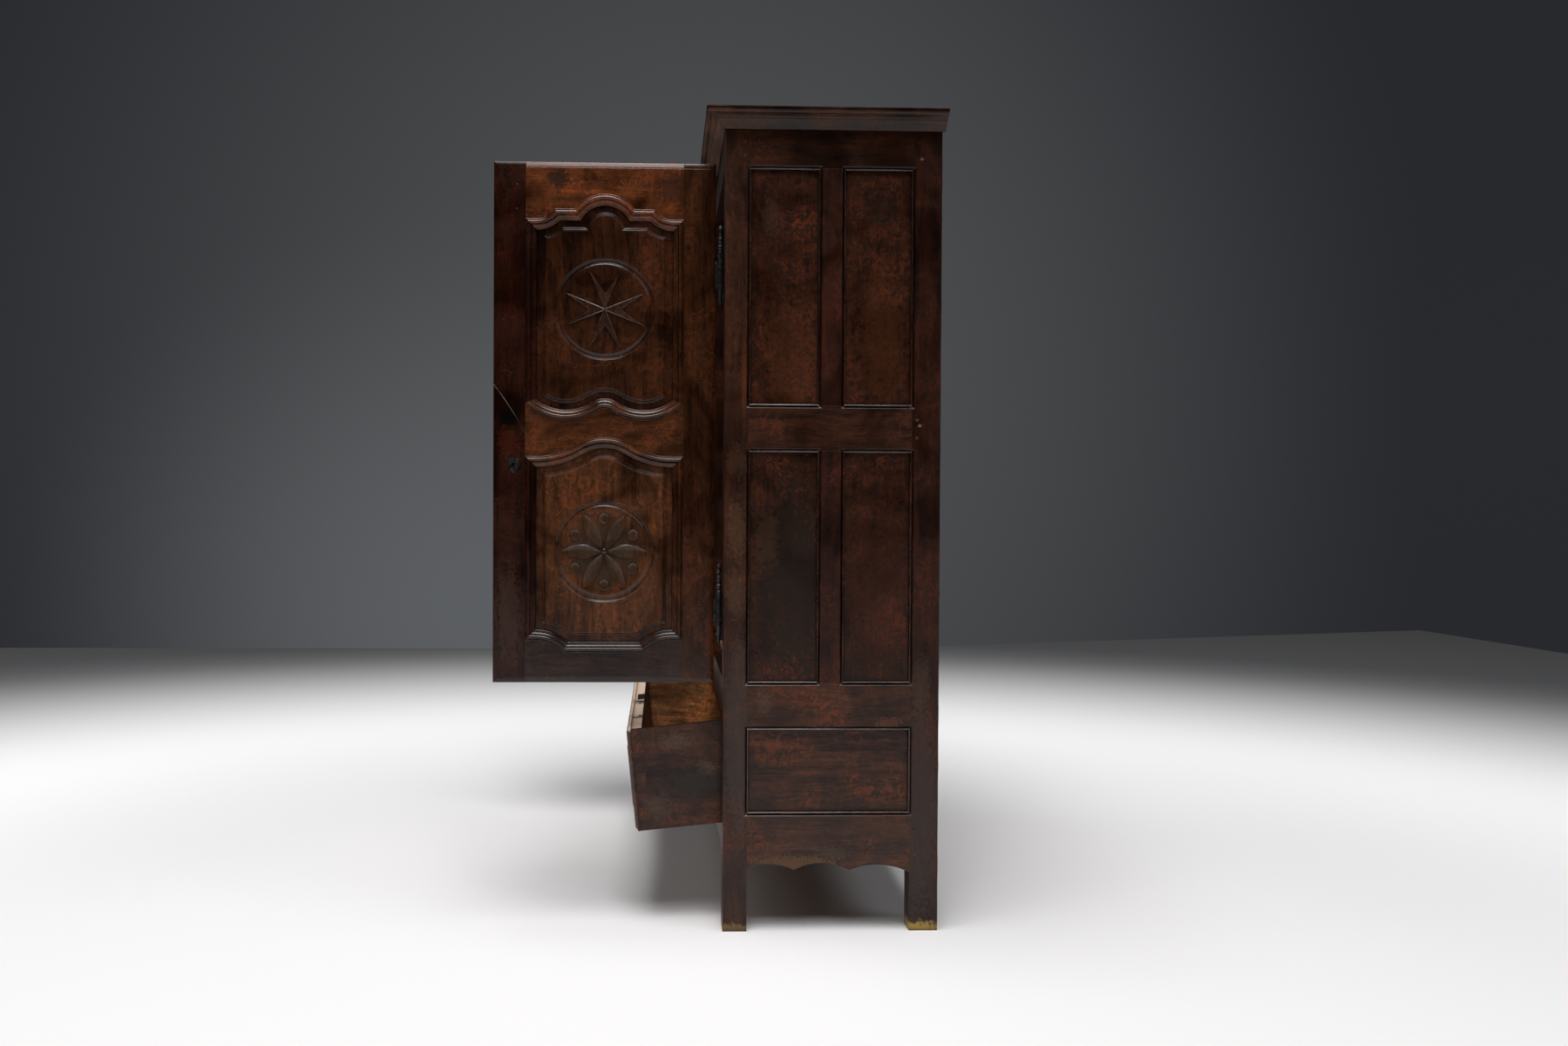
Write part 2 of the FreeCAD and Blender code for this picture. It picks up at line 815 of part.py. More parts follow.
hinge_heights = (
    S.door_foot + door_height - S.upper_hinge_drop,
    S.door_foot + S.lower_hinge_rise,
)
frame_knuckles = [frame_knuckle(height) for height in hinge_heights]
keep("hinge_knuckles", grouped(frame_knuckles + [mirrored(piece) for piece in frame_knuckles]))
hinge_pins = [hinge_pin(height) for height in hinge_heights]
keep("hinge_pins", grouped(hinge_pins + [mirrored(piece) for piece in hinge_pins]))
door_knuckles = [door_knuckle(height) for height in hinge_heights]
keep("right_hinge_leaves", grouped(door_knuckles))
keep("left_hinge_leaves", grouped([mirrored(piece) for piece in door_knuckles]))
frame_leaves = [frame_leaf(height) for height in hinge_heights]
door_leaves = [door_leaf(height) for height in hinge_heights]


# Posts. Each is a squared bar, mortised for what meets it, that runs down to a foot.

side_mortises = joined([raw_top_rail, raw_middle_rail, raw_lower_rail, raw_apron])
front_mortises = joined([raw_frieze, raw_front_middle, raw_front_apron])
front_post = pared(
    block((opening_half, front_y, as_size(0)), (half_body, front_post_y, carcase_top)),
    [
        side_mortises,
        front_mortises,
        side_fill,
        joined(frame_leaves),
    ],
)
rear_post = pared(
    block((rear_post_x, rear_post_y, as_size(0)), (half_body, rear_y, carcase_top)),
    [side_mortises, side_fill, joined(back_rails), plank_rebate],
)
keep("post_front_right", front_post)
keep("post_front_left", mirrored(front_post))
keep("post_rear_right", rear_post)
keep("post_rear_left", mirrored(rear_post))


# Top boards, floor, shelves and what carries them

top_depth = (S.body_depth - S.board_gap * (TOP_BOARDS - 1)) / TOP_BOARDS
top_boards = []
for number in range(TOP_BOARDS):
    start = front_y + (top_depth + S.board_gap) * number
    top_boards.append(
        block(
            (-half_body, start, carcase_top),
            (half_body, start + top_depth, carcase_top + S.top_board_thickness),
        )
    )
keep("top_boards", grouped(top_boards))

floor_foot = middle_rail_top - S.cupboard_floor_thickness
inner_half = side_inner_x - S.board_gap
keep(
    "cupboard_floor",
    joined(
        [
            block((-inner_half, front_post_y, floor_foot), (inner_half, rear_post_y, middle_rail_top)),
            block(
                (-opening_half, front_y + S.front_rail_thickness, floor_foot),
                (opening_half, front_post_y, middle_rail_top),
            ),
            block((-rear_post_x, rear_post_y, floor_foot), (rear_post_x, back_rail_near, middle_rail_top)),
        ]
    ),
)
both_sides(
    "floor_bearers",
    block(
        (side_inner_x - S.bearer_width, front_post_y, floor_foot - S.bearer_height),
        (side_inner_x, rear_post_y, floor_foot),
    ),
)

shelves = []
cleats = []
for height in (S.lower_shelf_height, S.upper_shelf_height):
    shelves.append(
        block((-inner_half, front_post_y, height), (inner_half, rear_post_y, height + S.shelf_thickness))
    )
    cleats.append(
        block(
            (side_inner_x - S.cleat_width, front_post_y, height - S.cleat_height),
            (side_inner_x, rear_post_y, height),
        )
    )
keep("shelves", grouped(shelves))
keep("shelf_cleats", grouped(cleats + [mirrored(cleat) for cleat in cleats]))

runner_inner = drawer_half - S.drawer_side_thickness
runner_outer = runner_inner + S.runner_width
runner_near = front_y + S.front_rail_thickness
right_runner = joined(
    [
        block(
            (runner_inner, runner_near, S.drawer_opening_foot - S.runner_height),
            (runner_outer, back_rail_near, S.drawer_opening_foot),
        ),
        block(
            (runner_outer - S.guide_width, runner_near, S.drawer_opening_foot),
            (runner_outer, back_rail_near, S.drawer_opening_foot + S.guide_height),
        ),
    ]
)
runner_clear = joined([front_post, rear_post])
both_sides("drawer_runners", pared(right_runner, [runner_clear]))


# Cornice: one moulding on three sides, mitred at the front corners

# Profile of the cornice: shares of its reach out from the body, and of its height
CORNICE_LINE_SHARES = [(0.0, 0.0), (0.1, 0.0)]
CORNICE_SPLAY_SHARES = [(0.3, 0.2), (0.51, 0.42)]
CORNICE_COVE_SHARES = [(0.53, 0.46), (0.56, 0.54), (0.63, 0.6)]
CORNICE_OVOLO_SHARES = [(0.72, 0.66), (0.93, 0.74), (0.95, 0.94)]
CORNICE_TOP_SHARES = [(1.0, 0.94), (1.0, 1.0), (0.0, 1.0)]


def cornice_profile(place):
    """The closed profile of the cornice, where place turns reach and height into a point."""
    foot = [place(*pair) for pair in CORNICE_LINE_SHARES]
    hollow = [place(*pair) for pair in CORNICE_SPLAY_SHARES]
    cove = [place(*pair) for pair in CORNICE_COVE_SHARES]
    ovolo = [place(*pair) for pair in CORNICE_OVOLO_SHARES]
    head = [place(*pair) for pair in CORNICE_TOP_SHARES]
    edges = [
        Part.makeLine(foot[0], foot[1]),
        Part.Arc(foot[1], hollow[0], hollow[1]).toShape(),
        Part.makeLine(hollow[1], cove[0]),
        Part.Arc(*cove).toShape(),
        Part.makeLine(cove[2], ovolo[0]),
        Part.Arc(*ovolo).toShape(),
        Part.makeLine(ovolo[2], head[0]),
        Part.makeLine(head[0], head[1]),
        Part.makeLine(head[1], head[2]),
        Part.makeLine(head[2], foot[0]),
    ]
    return Part.Wire(edges)


reach = SIZES["cornice_reach"]
corner_x = half_body.value + reach
cornice_start = front_y.value - reach
cornice_end = rear_y.value + SIZES["cornice_rear_over"]
front_profile = cornice_profile(
    lambda out, up: FreeCAD.Vector(
        -corner_x, front_y.value - out * reach, cornice_foot.value + up * SIZES["cornice_height"]
    )
)
side_profile = cornice_profile(
    lambda out, up: FreeCAD.Vector(
        half_body.value + out * reach, cornice_start, cornice_foot.value + up * SIZES["cornice_height"]
    )
)
front_length = formed(slab_of(front_profile, FreeCAD.Vector(2 * corner_x, 0, 0)))
side_length = formed(slab_of(side_profile, FreeCAD.Vector(0, cornice_end - cornice_start, 0)))


def mitre(side):
    """An upright prism over the part of the front corner that belongs to the side length."""
    foot = cornice_foot.value
    inner = (side * half_body.value, front_y.value)
    outer = (side * corner_x, cornice_start)
    points = [
        FreeCAD.Vector(inner[0], inner[1], foot),
        FreeCAD.Vector(outer[0], outer[1], foot),
        FreeCAD.Vector(outer[0], inner[1], foot),
    ]
    return formed(slab_of(wire_of(points), FreeCAD.Vector(0, 0, SIZES["cornice_height"])))


right_mitre = mitre(1)
left_mitre = mitre(-1)
front_corner = block(
    (half_body, front_y - S.cornice_reach, cornice_foot),
    (half_body + S.cornice_reach, front_y, S.total_height),
)
keep("cornice_front", pared(front_length, [right_mitre, left_mitre]))
right_cornice = pared(side_length, [pared(front_corner, [right_mitre])])
keep("cornice_right", right_cornice)
keep("cornice_left", mirrored(right_cornice))


# Doors: contours of the shaped openings. Across is measured from the middle of the door, up from
# its foot, and spread is how far a contour lies outside the sight line.


def scoop(spread, corner, shelf, radius, sign):
    """Half an end with a scooped corner and a shelf: its start and its steps towards the middle."""
    centre = SIZES["sight_width"] / 2 - SIZES["contour_sliver"]
    edge = SIZES["sight_width"] / 2 + spread
    size = radius - spread
    level = corner + sign * radius

    def on_arc(angle):
        return (centre - size * math.sin(angle), level - sign * size * math.cos(angle))

    last = math.acos((level - (shelf + sign * spread)) * sign / size)
    steps = []
    if spread >= 0:
        start = (edge, corner + sign * spread)
        steps.append(("line", on_arc(0)))
        first = 0
    else:
        first = math.asin((centre - edge) / size)
        start = on_arc(first)
    steps.append(("arc", on_arc((first + last) / 2), on_arc(last)))
    return start, steps


def arched_end(spread):
    """Head of the upper opening: scooped corners, shelves and a round arch."""
    shelf = upper_shelf.value
    start, steps = scoop(spread, upper_corner.value, shelf, SIZES["upper_scoop_radius"], 1)
    radius = SIZES["upper_crown_radius"] + spread
    middle = upper_apex.value - SIZES["upper_crown_radius"]
    foot = math.sqrt(radius ** 2 - (shelf + spread - middle) ** 2)
    steps.append(("line", (foot, shelf + spread)))
    return start, steps, (0, middle + radius)


def waved_end(spread):
    """Foot of the upper opening: a round lobe each side and a round rise between them."""
    lobe = SIZES["lobe_radius"] + spread
    crown = SIZES["lobe_crown_radius"] - spread
    offset = SIZES["lobe_offset"]
    level = upper_low.value + SIZES["lobe_radius"]
    reach_between = SIZES["lobe_radius"] + SIZES["lobe_crown_radius"]
    fall = math.sqrt(reach_between ** 2 - offset ** 2)
    edge = SIZES["sight_width"] / 2 + spread
    first = math.asin((edge - offset) / lobe)
    last = -math.atan2(offset, fall)

    def on_lobe(angle):
        return (offset + lobe * math.sin(angle), level - lobe * math.cos(angle))

    steps = [("arc", on_lobe((first + last) / 2), on_lobe(last))]
    return on_lobe(first), steps, (0, level - fall + crown)


def ogee_end(spread):
    """Head of the lower opening: hollow shoulders that rise to a round crown."""
    offset = SIZES["sight_width"] / 2 - SIZES["contour_sliver"]
    rise = lower_apex.value - lower_corner.value
    between = (offset ** 2 + rise ** 2) / (2 * rise)
    shoulder = between - SIZES["ogee_crown_radius"]
    level = lower_corner.value + shoulder
    size = shoulder - spread
    crown = SIZES["ogee_crown_radius"] + spread
    last = math.asin(offset / between)
    edge = SIZES["sight_width"] / 2 + spread

    def on_shoulder(angle):
        return (offset - size * math.sin(angle), level - size * math.cos(angle))

    steps = []
    if spread >= 0:
        start = (edge, lower_corner.value + spread)
        steps.append(("line", on_shoulder(0)))
        first = 0
    else:
        first = math.asin((offset - edge) / size)
        start = on_shoulder(first)
    steps.append(("arc", on_shoulder((first + last) / 2), on_shoulder(last)))
    return start, steps, (0, lower_apex.value - SIZES["ogee_crown_radius"] + crown)


def scooped_end(spread):
    """Foot of the lower opening: scooped corners and a flat run between them."""
    start, steps = scoop(
        spread, lower_foot_corner.value, SIZES["lower_foot"], SIZES["lower_scoop_radius"], -1
    )
    return start, steps, None


door_centre_y = door_edge_y - door_width / 2
OPENINGS = {"upper": (arched_end, waved_end), "lower": (ogee_end, scooped_end)}


def spot(across, up, out):
    """A point of the right door, open: out is measured from the outer face."""
    return FreeCAD.Vector(
        door_face_x.value + out, door_centre_y.value + across, SIZES["door_foot"] + up
    )


def end_edges(end, spread, out):
    """The edges of one end, from its right-hand corner to its left-hand one."""
    start, steps, crown = end(spread)

    def run(side):
        here = start
        edges = []
        for step in steps:
            places = [spot(side * across, up, out) for across, up in (here,) + step[1:]]
            if step[0] == "line":
                edges.append(Part.makeLine(*places))
            else:
                edges.append(Part.Arc(*places).toShape())
            here = step[-1]
        return edges, here

    right, here = run(1)
    left, here = run(-1)
    first = spot(here[0], here[1], out)
    last = spot(-here[0], here[1], out)
    if crown is None:
        middle = Part.makeLine(first, last)
    else:
        middle = Part.Arc(first, spot(crown[0], crown[1], out), last).toShape()
    corners = (spot(start[0], start[1], out), spot(-start[0], start[1], out))
    return right + [middle] + left[::-1], corners


def contour(opening, spread, out):
    """The closed contour of an opening at a spread from the sight line."""
    head, foot = OPENINGS[opening]
    head_edges, head_corners = end_edges(head, spread, out)
    foot_edges, foot_corners = end_edges(foot, spread, out)
    sides = [
        Part.makeLine(head_corners[0], foot_corners[0]),
        Part.makeLine(head_corners[1], foot_corners[1]),
    ]
    return Part.Wire(Part.__sortEdges__(head_edges + foot_edges + sides))


def plug(opening, spread, low, high):
    """A straight plug of an opening between two depths."""
    return slab_of(contour(opening, spread, low), FreeCAD.Vector(high - low, 0, 0))


def flared_plug(opening, spread_low, low, spread_high, high):
    """A plug whose contour changes between two depths."""
    wires = [contour(opening, spread_low, low), contour(opening, spread_high, high)]
    return Part.makeLoft(wires, True, True)


def moulding_ring(opening):
    """What stands proud of the frame around an opening, still solid across it."""
    wide = SIZES["moulding_width"]
    edge = SIZES["moulding_edge_rise"]
    crest = SIZES["moulding_crest_rise"]
    step = plug(opening, wide, -edge, edge)
    return step.fuse(flared_plug(opening, wide, edge, SIZES["moulding_crest_out"], crest))


def moulding_void(opening):
    """What is taken out of an opening: quirks and hollows that fall towards the panel."""
    crest_in = SIZES["moulding_crest_in"]
    quirk = SIZES["moulding_quirk"]
    step = SIZES["moulding_step_rise"]
    rise = SIZES["moulding_quirk_rise"]
    fall = -SIZES["moulding_quirk_fall"]
    sight = -SIZES["moulding_sight_fall"]
    top = 2 * SIZES["moulding_crest_rise"]
    shapes = [
        plug(opening, crest_in, step, top),
        flared_plug(opening, quirk, rise, crest_in, step),
        plug(opening, quirk, fall, rise),
        flared_plug(opening, 0, sight, quirk, fall),
        plug(opening, 0, -2 * SIZES["door_thickness"], sight),
    ]
    return shapes[0].multiFuse(shapes[1:])


# Frame of a door, first in one piece with its rebate, bead and mouldings


def door_slab(grow, low_out, high_out):
    """A flat layer of the right door, drawn in from its outer edge on all sides."""
    return block(
        (door_face_x + low_out, free_edge_y + grow, S.door_foot + grow),
        (door_face_x + high_out, door_edge_y - grow, S.door_foot + door_height - grow),
    )


door_layers = [
    block(
        (door_face_x - S.door_thickness, free_edge_y, door_body_foot),
        (door_face_x - S.door_lip_thickness, door_edge_y - S.door_lip - S.door_play, door_body_top),
    ),
    door_slab(as_size(0), -S.door_lip_thickness, -S.door_bead_drop),
    splay(
        door_face_x - S.door_bead_drop,
        door_face_x - S.door_quirk_drop,
        (free_edge_y, S.door_foot),
        (door_edge_y, S.door_foot + door_height),
        as_size(0),
        -S.door_bead_width,
    ),
    door_slab(S.door_bead_quirk, -S.door_quirk_drop, as_size(0)),
]
rings = [formed(moulding_ring(opening)) for opening in OPENINGS]
voids = [formed(moulding_void(opening)) for opening in OPENINGS]
door_frame = pared(joined(door_layers + rings), voids)


def corner_places(end, sign):
    """Outer and inner corner of a mitre, and a third point in line inside the opening."""
    outer = end(SIZES["moulding_width"])[0]
    inner = end(0)[0]
    lead = 4
    deep = (outer[0] + lead * (inner[0] - outer[0]), outer[1] + lead * (inner[1] - outer[1]))
    return outer, deep


def rail_region(ends, edges):
    """The part of the door that one rail takes up, with mitred ends at its mouldings."""
    points = []
    for end, edge in zip(ends, edges):
        if end is None:
            half = SIZES["sight_width"] / 2 + SIZES["moulding_width"]
            points.append([(-half, edge), (half, edge)])
            continue
        outer, deep = corner_places(end, 1)
        points.append([(-outer[0], outer[1]), (-deep[0], deep[1]), deep, outer])
    loop = points[0] + points[1][::-1]
    low = -2 * SIZES["door_thickness"]
    wire = wire_of([spot(across, up, low) for across, up in loop])
    return formed(slab_of(wire, FreeCAD.Vector(4 * SIZES["door_thickness"], 0, 0)))


regions = {
    "top_rail": rail_region((arched_end, None), (None, door_height.value)),
    "middle_rail": rail_region((ogee_end, waved_end), (None, None)),
    "bottom_rail": rail_region((None, scooped_end), (0, None)),
}
door_tenon_levels = {
    "top_rail": (
        upper_corner + S.moulding_width + S.door_tenon_shoulder,
        door_height - S.door_lip - S.door_play - S.door_tenon_shoulder * 2,
    ),
    "middle_rail": (
        lower_corner + S.moulding_width + S.door_tenon_shoulder,
        upper_low - S.moulding_width + S.door_tenon_shoulder,
    ),
    "bottom_rail": (
        S.door_lip + S.door_play + S.door_tenon_shoulder * 2,
        lower_foot_corner - S.moulding_width - S.door_tenon_shoulder / 2,
    ),
}
tongue_out = -(S.door_tongue_sink + S.door_tongue_thickness)


def door_tenon(levels):
    """The two tenons of a door rail, drawn as one bar that runs through the rail."""
    reach_out = S.sight_width / 2 + S.moulding_width + S.door_tenon_length
    return block(
        (door_face_x + tongue_out, door_centre_y - reach_out, S.door_foot + levels[0]),
        (door_face_x - S.door_tongue_sink, door_centre_y + reach_out, S.door_foot + levels[1]),
    )


def panel_plate(low, high):
    """The thin plate of a door panel, with its edges in the grooves of the frame."""
    reach_out = S.sight_width / 2 + S.door_groove
    return block(
        (door_face_x + tongue_out, door_centre_y - reach_out, S.door_foot + low - S.door_groove),
        (door_face_x - S.door_tongue_sink, door_centre_y + reach_out, S.door_foot + high + S.door_groove),
    )


plates = {
    "upper": panel_plate(upper_low, upper_apex),
    "lower": panel_plate(S.lower_foot, lower_apex),
}
plate_tools = joined(list(plates.values()))
leaf_tools = joined(door_leaves)


# Lock of the right door: a case on the inner face, a bolt that slides in it, and a plate

lock_x = door_face_x - S.door_thickness
lock_y = free_edge_y + S.lock_backset
lock_z = S.door_foot + lower_corner + S.lock_rise
case_y = free_edge_y + S.lock_wall
case_low = lock_z - S.lock_case_height / 2
bolt_low = lock_z + S.keyhole_drop
bolt_x = lock_x - S.lock_wall - S.iron_play - S.lock_bolt_thickness
lock_bolt_length = S.lock_case_width - S.lock_wall * 2 - S.lock_bolt_throw


def lock_bolt(grow, reach_back):
    """The bolt of the door lock, or the space that it slides in."""
    return block(
        (bolt_x - grow, case_y - grow, bolt_low - grow),
        (
            bolt_x + S.lock_bolt_thickness + grow,
            case_y + lock_bolt_length + reach_back + grow,
            bolt_low + S.lock_bolt_height + grow,
        ),
    )


lock_case = pared(
    block(
        (lock_x - S.lock_case_depth, case_y, case_low),
        (lock_x, case_y + S.lock_case_width, case_low + S.lock_case_height),
    ),
    [
        block(
            (lock_x - S.lock_case_depth + S.lock_wall, case_y + S.lock_wall, case_low + S.lock_wall),
            (
                lock_x,
                case_y + S.lock_case_width - S.lock_wall,
                case_low + S.lock_case_height - S.lock_wall,
            ),
        ),
        lock_bolt(S.iron_play, as_size(0)),
    ],
)
bolt_guide = pared(
    block(
        (lock_x - S.lock_case_depth + S.lock_wall, case_y + S.lock_wall, bolt_low - S.lock_wall * 2),
        (lock_x, case_y + S.lock_wall * 4, bolt_low + S.lock_bolt_height + S.lock_wall * 2),
    ),
    [lock_bolt(S.iron_play, as_size(0))],
)
keep("door_lock", joined([lock_case, bolt_guide]))
keep("door_lock_bolt", lock_bolt(as_size(0), as_size(0)))


def keyhole(centre_x, depth):
    """A round hole with a slot below it, through the wood."""
    start = (centre_x, lock_y, lock_z)
    return joined(
        [
            rod(start, S.keyhole_radius, depth, "x"),
            block(
                (centre_x, lock_y - S.keyhole_slot / 2, lock_z - S.keyhole_drop),
                (centre_x + depth, lock_y + S.keyhole_slot / 2, lock_z),
            ),
        ]
    )


door_keyhole = keyhole(lock_x, S.door_thickness + S.plate_thickness * 2)

# Outline of a shield-shaped plate: shares of half its width and of its height, about the keyhole
SHIELD_SHARES = [(0.0, -0.62), (0.55, -0.4), (1.0, -0.05), (0.85, 0.2), (0.95, 0.38), (0.0, 0.38)]


def shield(role):
    """A thin shield-shaped plate in a plane of its own, its keyhole place at its origin."""
    body = doc.addObject("PartDesign::Body", "shield")
    drop = S.plate_height * 0.62
    half = S.plate_width / 2
    right = [(half + half * wide, drop + S.plate_height * up) for wide, up in SHIELD_SHARES[:-1]]
    left = [(half - half * wide, drop + S.plate_height * up) for wide, up in SHIELD_SHARES[-2:0:-1]]
    sketch = outline(body, role, right + left)
    pad = body.newObject("PartDesign::Pad", "pad")
    pad.Profile = sketch
    pad.setExpression("Length", S.plate_thickness.text)
    body.Tip = pad
    return body, half, drop


door_shield, shield_half, shield_drop = shield("YZ_Plane")
for axis, place in zip("xyz", (door_face_x, lock_y - shield_half, lock_z - shield_drop)):
    door_shield.setExpression("Placement.Base." + axis, place.text)
keep("door_escutcheon", pared(door_shield, [door_keyhole]))


# Members of each door


def door_members(hand, place, extra):
    """The frame pieces and panels of one door, named for its hand."""
    rails = []
    for name, region in regions.items():
        solid = joined([shared(door_frame, region), door_tenon(door_tenon_levels[name])])
        rails.append(solid)
        keep(f"{hand}_{name}", place(pared(solid, [plate_tools])))
    rail_tools = joined(rails)
    half_height = S.door_foot + door_height * 2
    inner = block(
        (door_face_x - S.door_thickness * 2, door_centre_y, as_size(0)),
        (door_face_x + S.door_thickness, door_edge_y + S.door_lip, half_height),
    )
    outer = block(
        (door_face_x - S.door_thickness * 2, free_edge_y - S.door_lip, as_size(0)),
        (door_face_x + S.door_thickness, door_centre_y, half_height),
    )
    hinge_stile = pared(shared(door_frame, inner), [rail_tools, plate_tools, leaf_tools])
    keep(f"{hand}_hinge_stile", place(hinge_stile))
    lock_stile = pared(shared(door_frame, outer), [rail_tools, plate_tools] + extra)
    keep(f"{hand}_lock_stile", place(lock_stile))
    return rails


door_members("right", lambda piece: piece, [door_keyhole])
door_members("left", mirrored, [])


# Raised panels with their medallions


medallion_radius = (door_height * MEDALLION_SHARE).value


def disc(up, share, low, high, tip_share=None):
    """A round slab or taper on the panel, its axis square to the door."""
    start = spot(0, up, low)
    normal = FreeCAD.Vector(1, 0, 0)
    radius = medallion_radius * share
    if tip_share is None:
        return Part.makeCylinder(radius, high - low, start, normal)
    return Part.makeCone(radius, medallion_radius * tip_share, high - low, start, normal)


def cross_relief(up, low, high):
    """An eight-pointed cross: four arms, each with two tips and a notch between them."""
    points = []
    for arm in range(4):
        turn = QUARTER * arm
        for angle, name in (
            (turn - HALF_QUARTER / 2, "tip"),
            (turn, "notch"),
            (turn + HALF_QUARTER / 2, "tip"),
            (turn + HALF_QUARTER, "waist"),
        ):
            radius = medallion_radius * CROSS_SHARES[name]
            bearing = math.radians(angle)
            points.append(spot(radius * math.cos(bearing), up + radius * math.sin(bearing), low))
    return slab_of(wire_of(points), FreeCAD.Vector(high - low, 0, 0))


def petal(up, turn, low, high):
    """One petal between two arcs, turned about the middle of the rosette."""
    bearing = math.radians(turn)

    def at(along, aside):
        return spot(
            along * math.cos(bearing) - aside * math.sin(bearing),
            up + along * math.sin(bearing) + aside * math.cos(bearing),
            low,
        )

    root = medallion_radius * PETAL_SHARES["root"]
    tip = medallion_radius * PETAL_SHARES["reach"]
    wide = medallion_radius * PETAL_SHARES["half_width"]
    middle = (root + tip) / 2
    edges = [
        Part.Arc(at(root, 0), at(middle, wide), at(tip, 0)).toShape(),
        Part.Arc(at(tip, 0), at(middle, -wide), at(root, 0)).toShape(),
    ]
    return slab_of(Part.Wire(edges), FreeCAD.Vector(high - low, 0, 0))


def rosette_relief(up, low, high):
    """Six petals about a small heart, with a round boss between each two."""
    shapes = [disc(up, HEART_SHARE, low, high)]
    for number in range(PETALS):
        turn = 4 * QUARTER * number / PETALS
        shapes.append(petal(up, turn, low, high))
        bearing = math.radians(turn + 2 * QUARTER / PETALS)
        away = medallion_radius * BOSS_CIRCLE_SHARE
        start = spot(away * math.cos(bearing), up + away * math.sin(bearing), low)
        size = medallion_radius * BOSS_SHARE
        shapes.append(Part.makeCylinder(size, high - low, start, FreeCAD.Vector(1, 0, 0)))
    return shapes[0].multiFuse(shapes[1:])


def raised_field(opening, foot, top, relief):
    """The raised field of a panel, with a moat, a disc and a relief in its middle."""
    up = foot + (top - foot) * MEDALLION_UP_SHARES[opening]
    base = -SIZES["door_tongue_sink"]
    face = -SIZES["field_sink"]
    outer = -SIZES["field_margin"]
    inner = outer - SIZES["field_bevel"]
    ground = face - SIZES["medallion_ground_depth"]
    floor = face - SIZES["medallion_depth"]
    field = flared_plug(opening, outer, base, inner, face)
    moat = disc(up, MOAT_FLOOR_SHARE, floor, face, 1)
    mound = disc(up, DISC_SHARE, base, ground, GROUND_SHARE)
    figure = relief(up, base, ground + SIZES["relief_height"])
    return field.cut(moat).fuse(mound).fuse(figure)


fields = {
    "upper": formed(raised_field("upper", upper_low.value, upper_apex.value, cross_relief)),
    "lower": formed(raised_field("lower", SIZES["lower_foot"], lower_apex.value, rosette_relief)),
}
for opening, plate in plates.items():
    panel = joined([plate, fields[opening]])
    keep(f"right_{opening}_panel", panel)
    keep(f"left_{opening}_panel", mirrored(panel))


# Left door: slide bolts, the staples that hold them, and the keep of the lock

keep("upper_bolt", slide_bolt(upper_bolt_foot, as_size(0)))
keep("lower_bolt", slide_bolt(lower_bolt_foot, as_size(0)))


def staple(foot):
    """An iron loop that holds a slide bolt against the left door."""
    inner_x = door_left_face + S.door_thickness
    near = slide_bolt_y - S.iron_play - S.staple_wall
    far = slide_bolt_y + S.slide_bolt_width + S.iron_play + S.staple_wall
    loop = block(
        (inner_x, near, foot),
        (
            inner_x + S.slide_bolt_stand + S.slide_bolt_thickness + S.iron_play + S.staple_wall,
            far,
            foot + S.staple_height,
        ),
    )
    return loop


bolt_spaces = joined(
    [slide_bolt(upper_bolt_foot, S.iron_play), slide_bolt(lower_bolt_foot, S.iron_play)]
)
staples = [
    pared(staple(foot), [bolt_spaces])
    for foot in (
        upper_bolt_foot + S.staple_inset,
        upper_bolt_foot + S.slide_bolt_length - S.staple_inset - S.staple_height,
        lower_bolt_foot + S.staple_inset,
        lower_bolt_foot + S.slide_bolt_length - S.staple_inset - S.staple_height,
    )
]
keep_x = door_left_face + S.door_thickness
keep_outer = S.lock_wall + S.iron_play + S.lock_bolt_thickness + S.iron_play * 2 + S.staple_wall
lock_keep = pared(
    block(
        (keep_x, free_edge_y + S.lock_wall, bolt_low - S.iron_play * 2 - S.staple_wall),
        (
            keep_x + keep_outer,
            free_edge_y + S.lock_wall + S.lock_bolt_throw,
            bolt_low + S.lock_bolt_height + S.iron_play * 2 + S.staple_wall,
        ),
    ),
    [
        block(
            (keep_x, free_edge_y, bolt_low - S.iron_play * 2),
            (
                keep_x + keep_outer - S.staple_wall,
                free_edge_y + S.lock_wall + S.lock_bolt_throw * 2,
                bolt_low + S.lock_bolt_height + S.iron_play * 2,
            ),
        )
    ],
)
keep("left_door_staples", grouped(staples + [lock_keep]))


# Drawer, drawn shut and level, then drawn out and let droop about the rollers

drawer_top = middle_rail_foot - S.drawer_head_play
lip_face = front_y + S.drawer_recess
lip_back = lip_face + S.drawer_lip_thickness
lip_half = drawer_half + S.drawer_lip_side
lip_top = drawer_top + S.drawer_lip_head
front_back_y = lip_back + S.drawer_front_thickness
drawer_end = front_y + S.drawer_length
side_inner = drawer_half - S.drawer_side_thickness


def bevel_slab(low, high, near, far, inset):
    """A taper along Y between two upright rectangles, the near one drawn in all round."""
    thing = doc.addObject("Part::Wedge", "bevel")
    bounds = {
        "Xmin": low[0] + inset,
        "Xmax": high[0] - inset,
        "Zmin": low[1] + inset,
        "Zmax": high[1] - inset,
        "X2min": low[0],
        "X2max": high[0],
        "Z2min": low[1],
        "Z2max": high[1],
        "Ymin": near,
        "Ymax": far,
    }
    for name, size in bounds.items():
        thing.setExpression(name, size.text)
    return thing


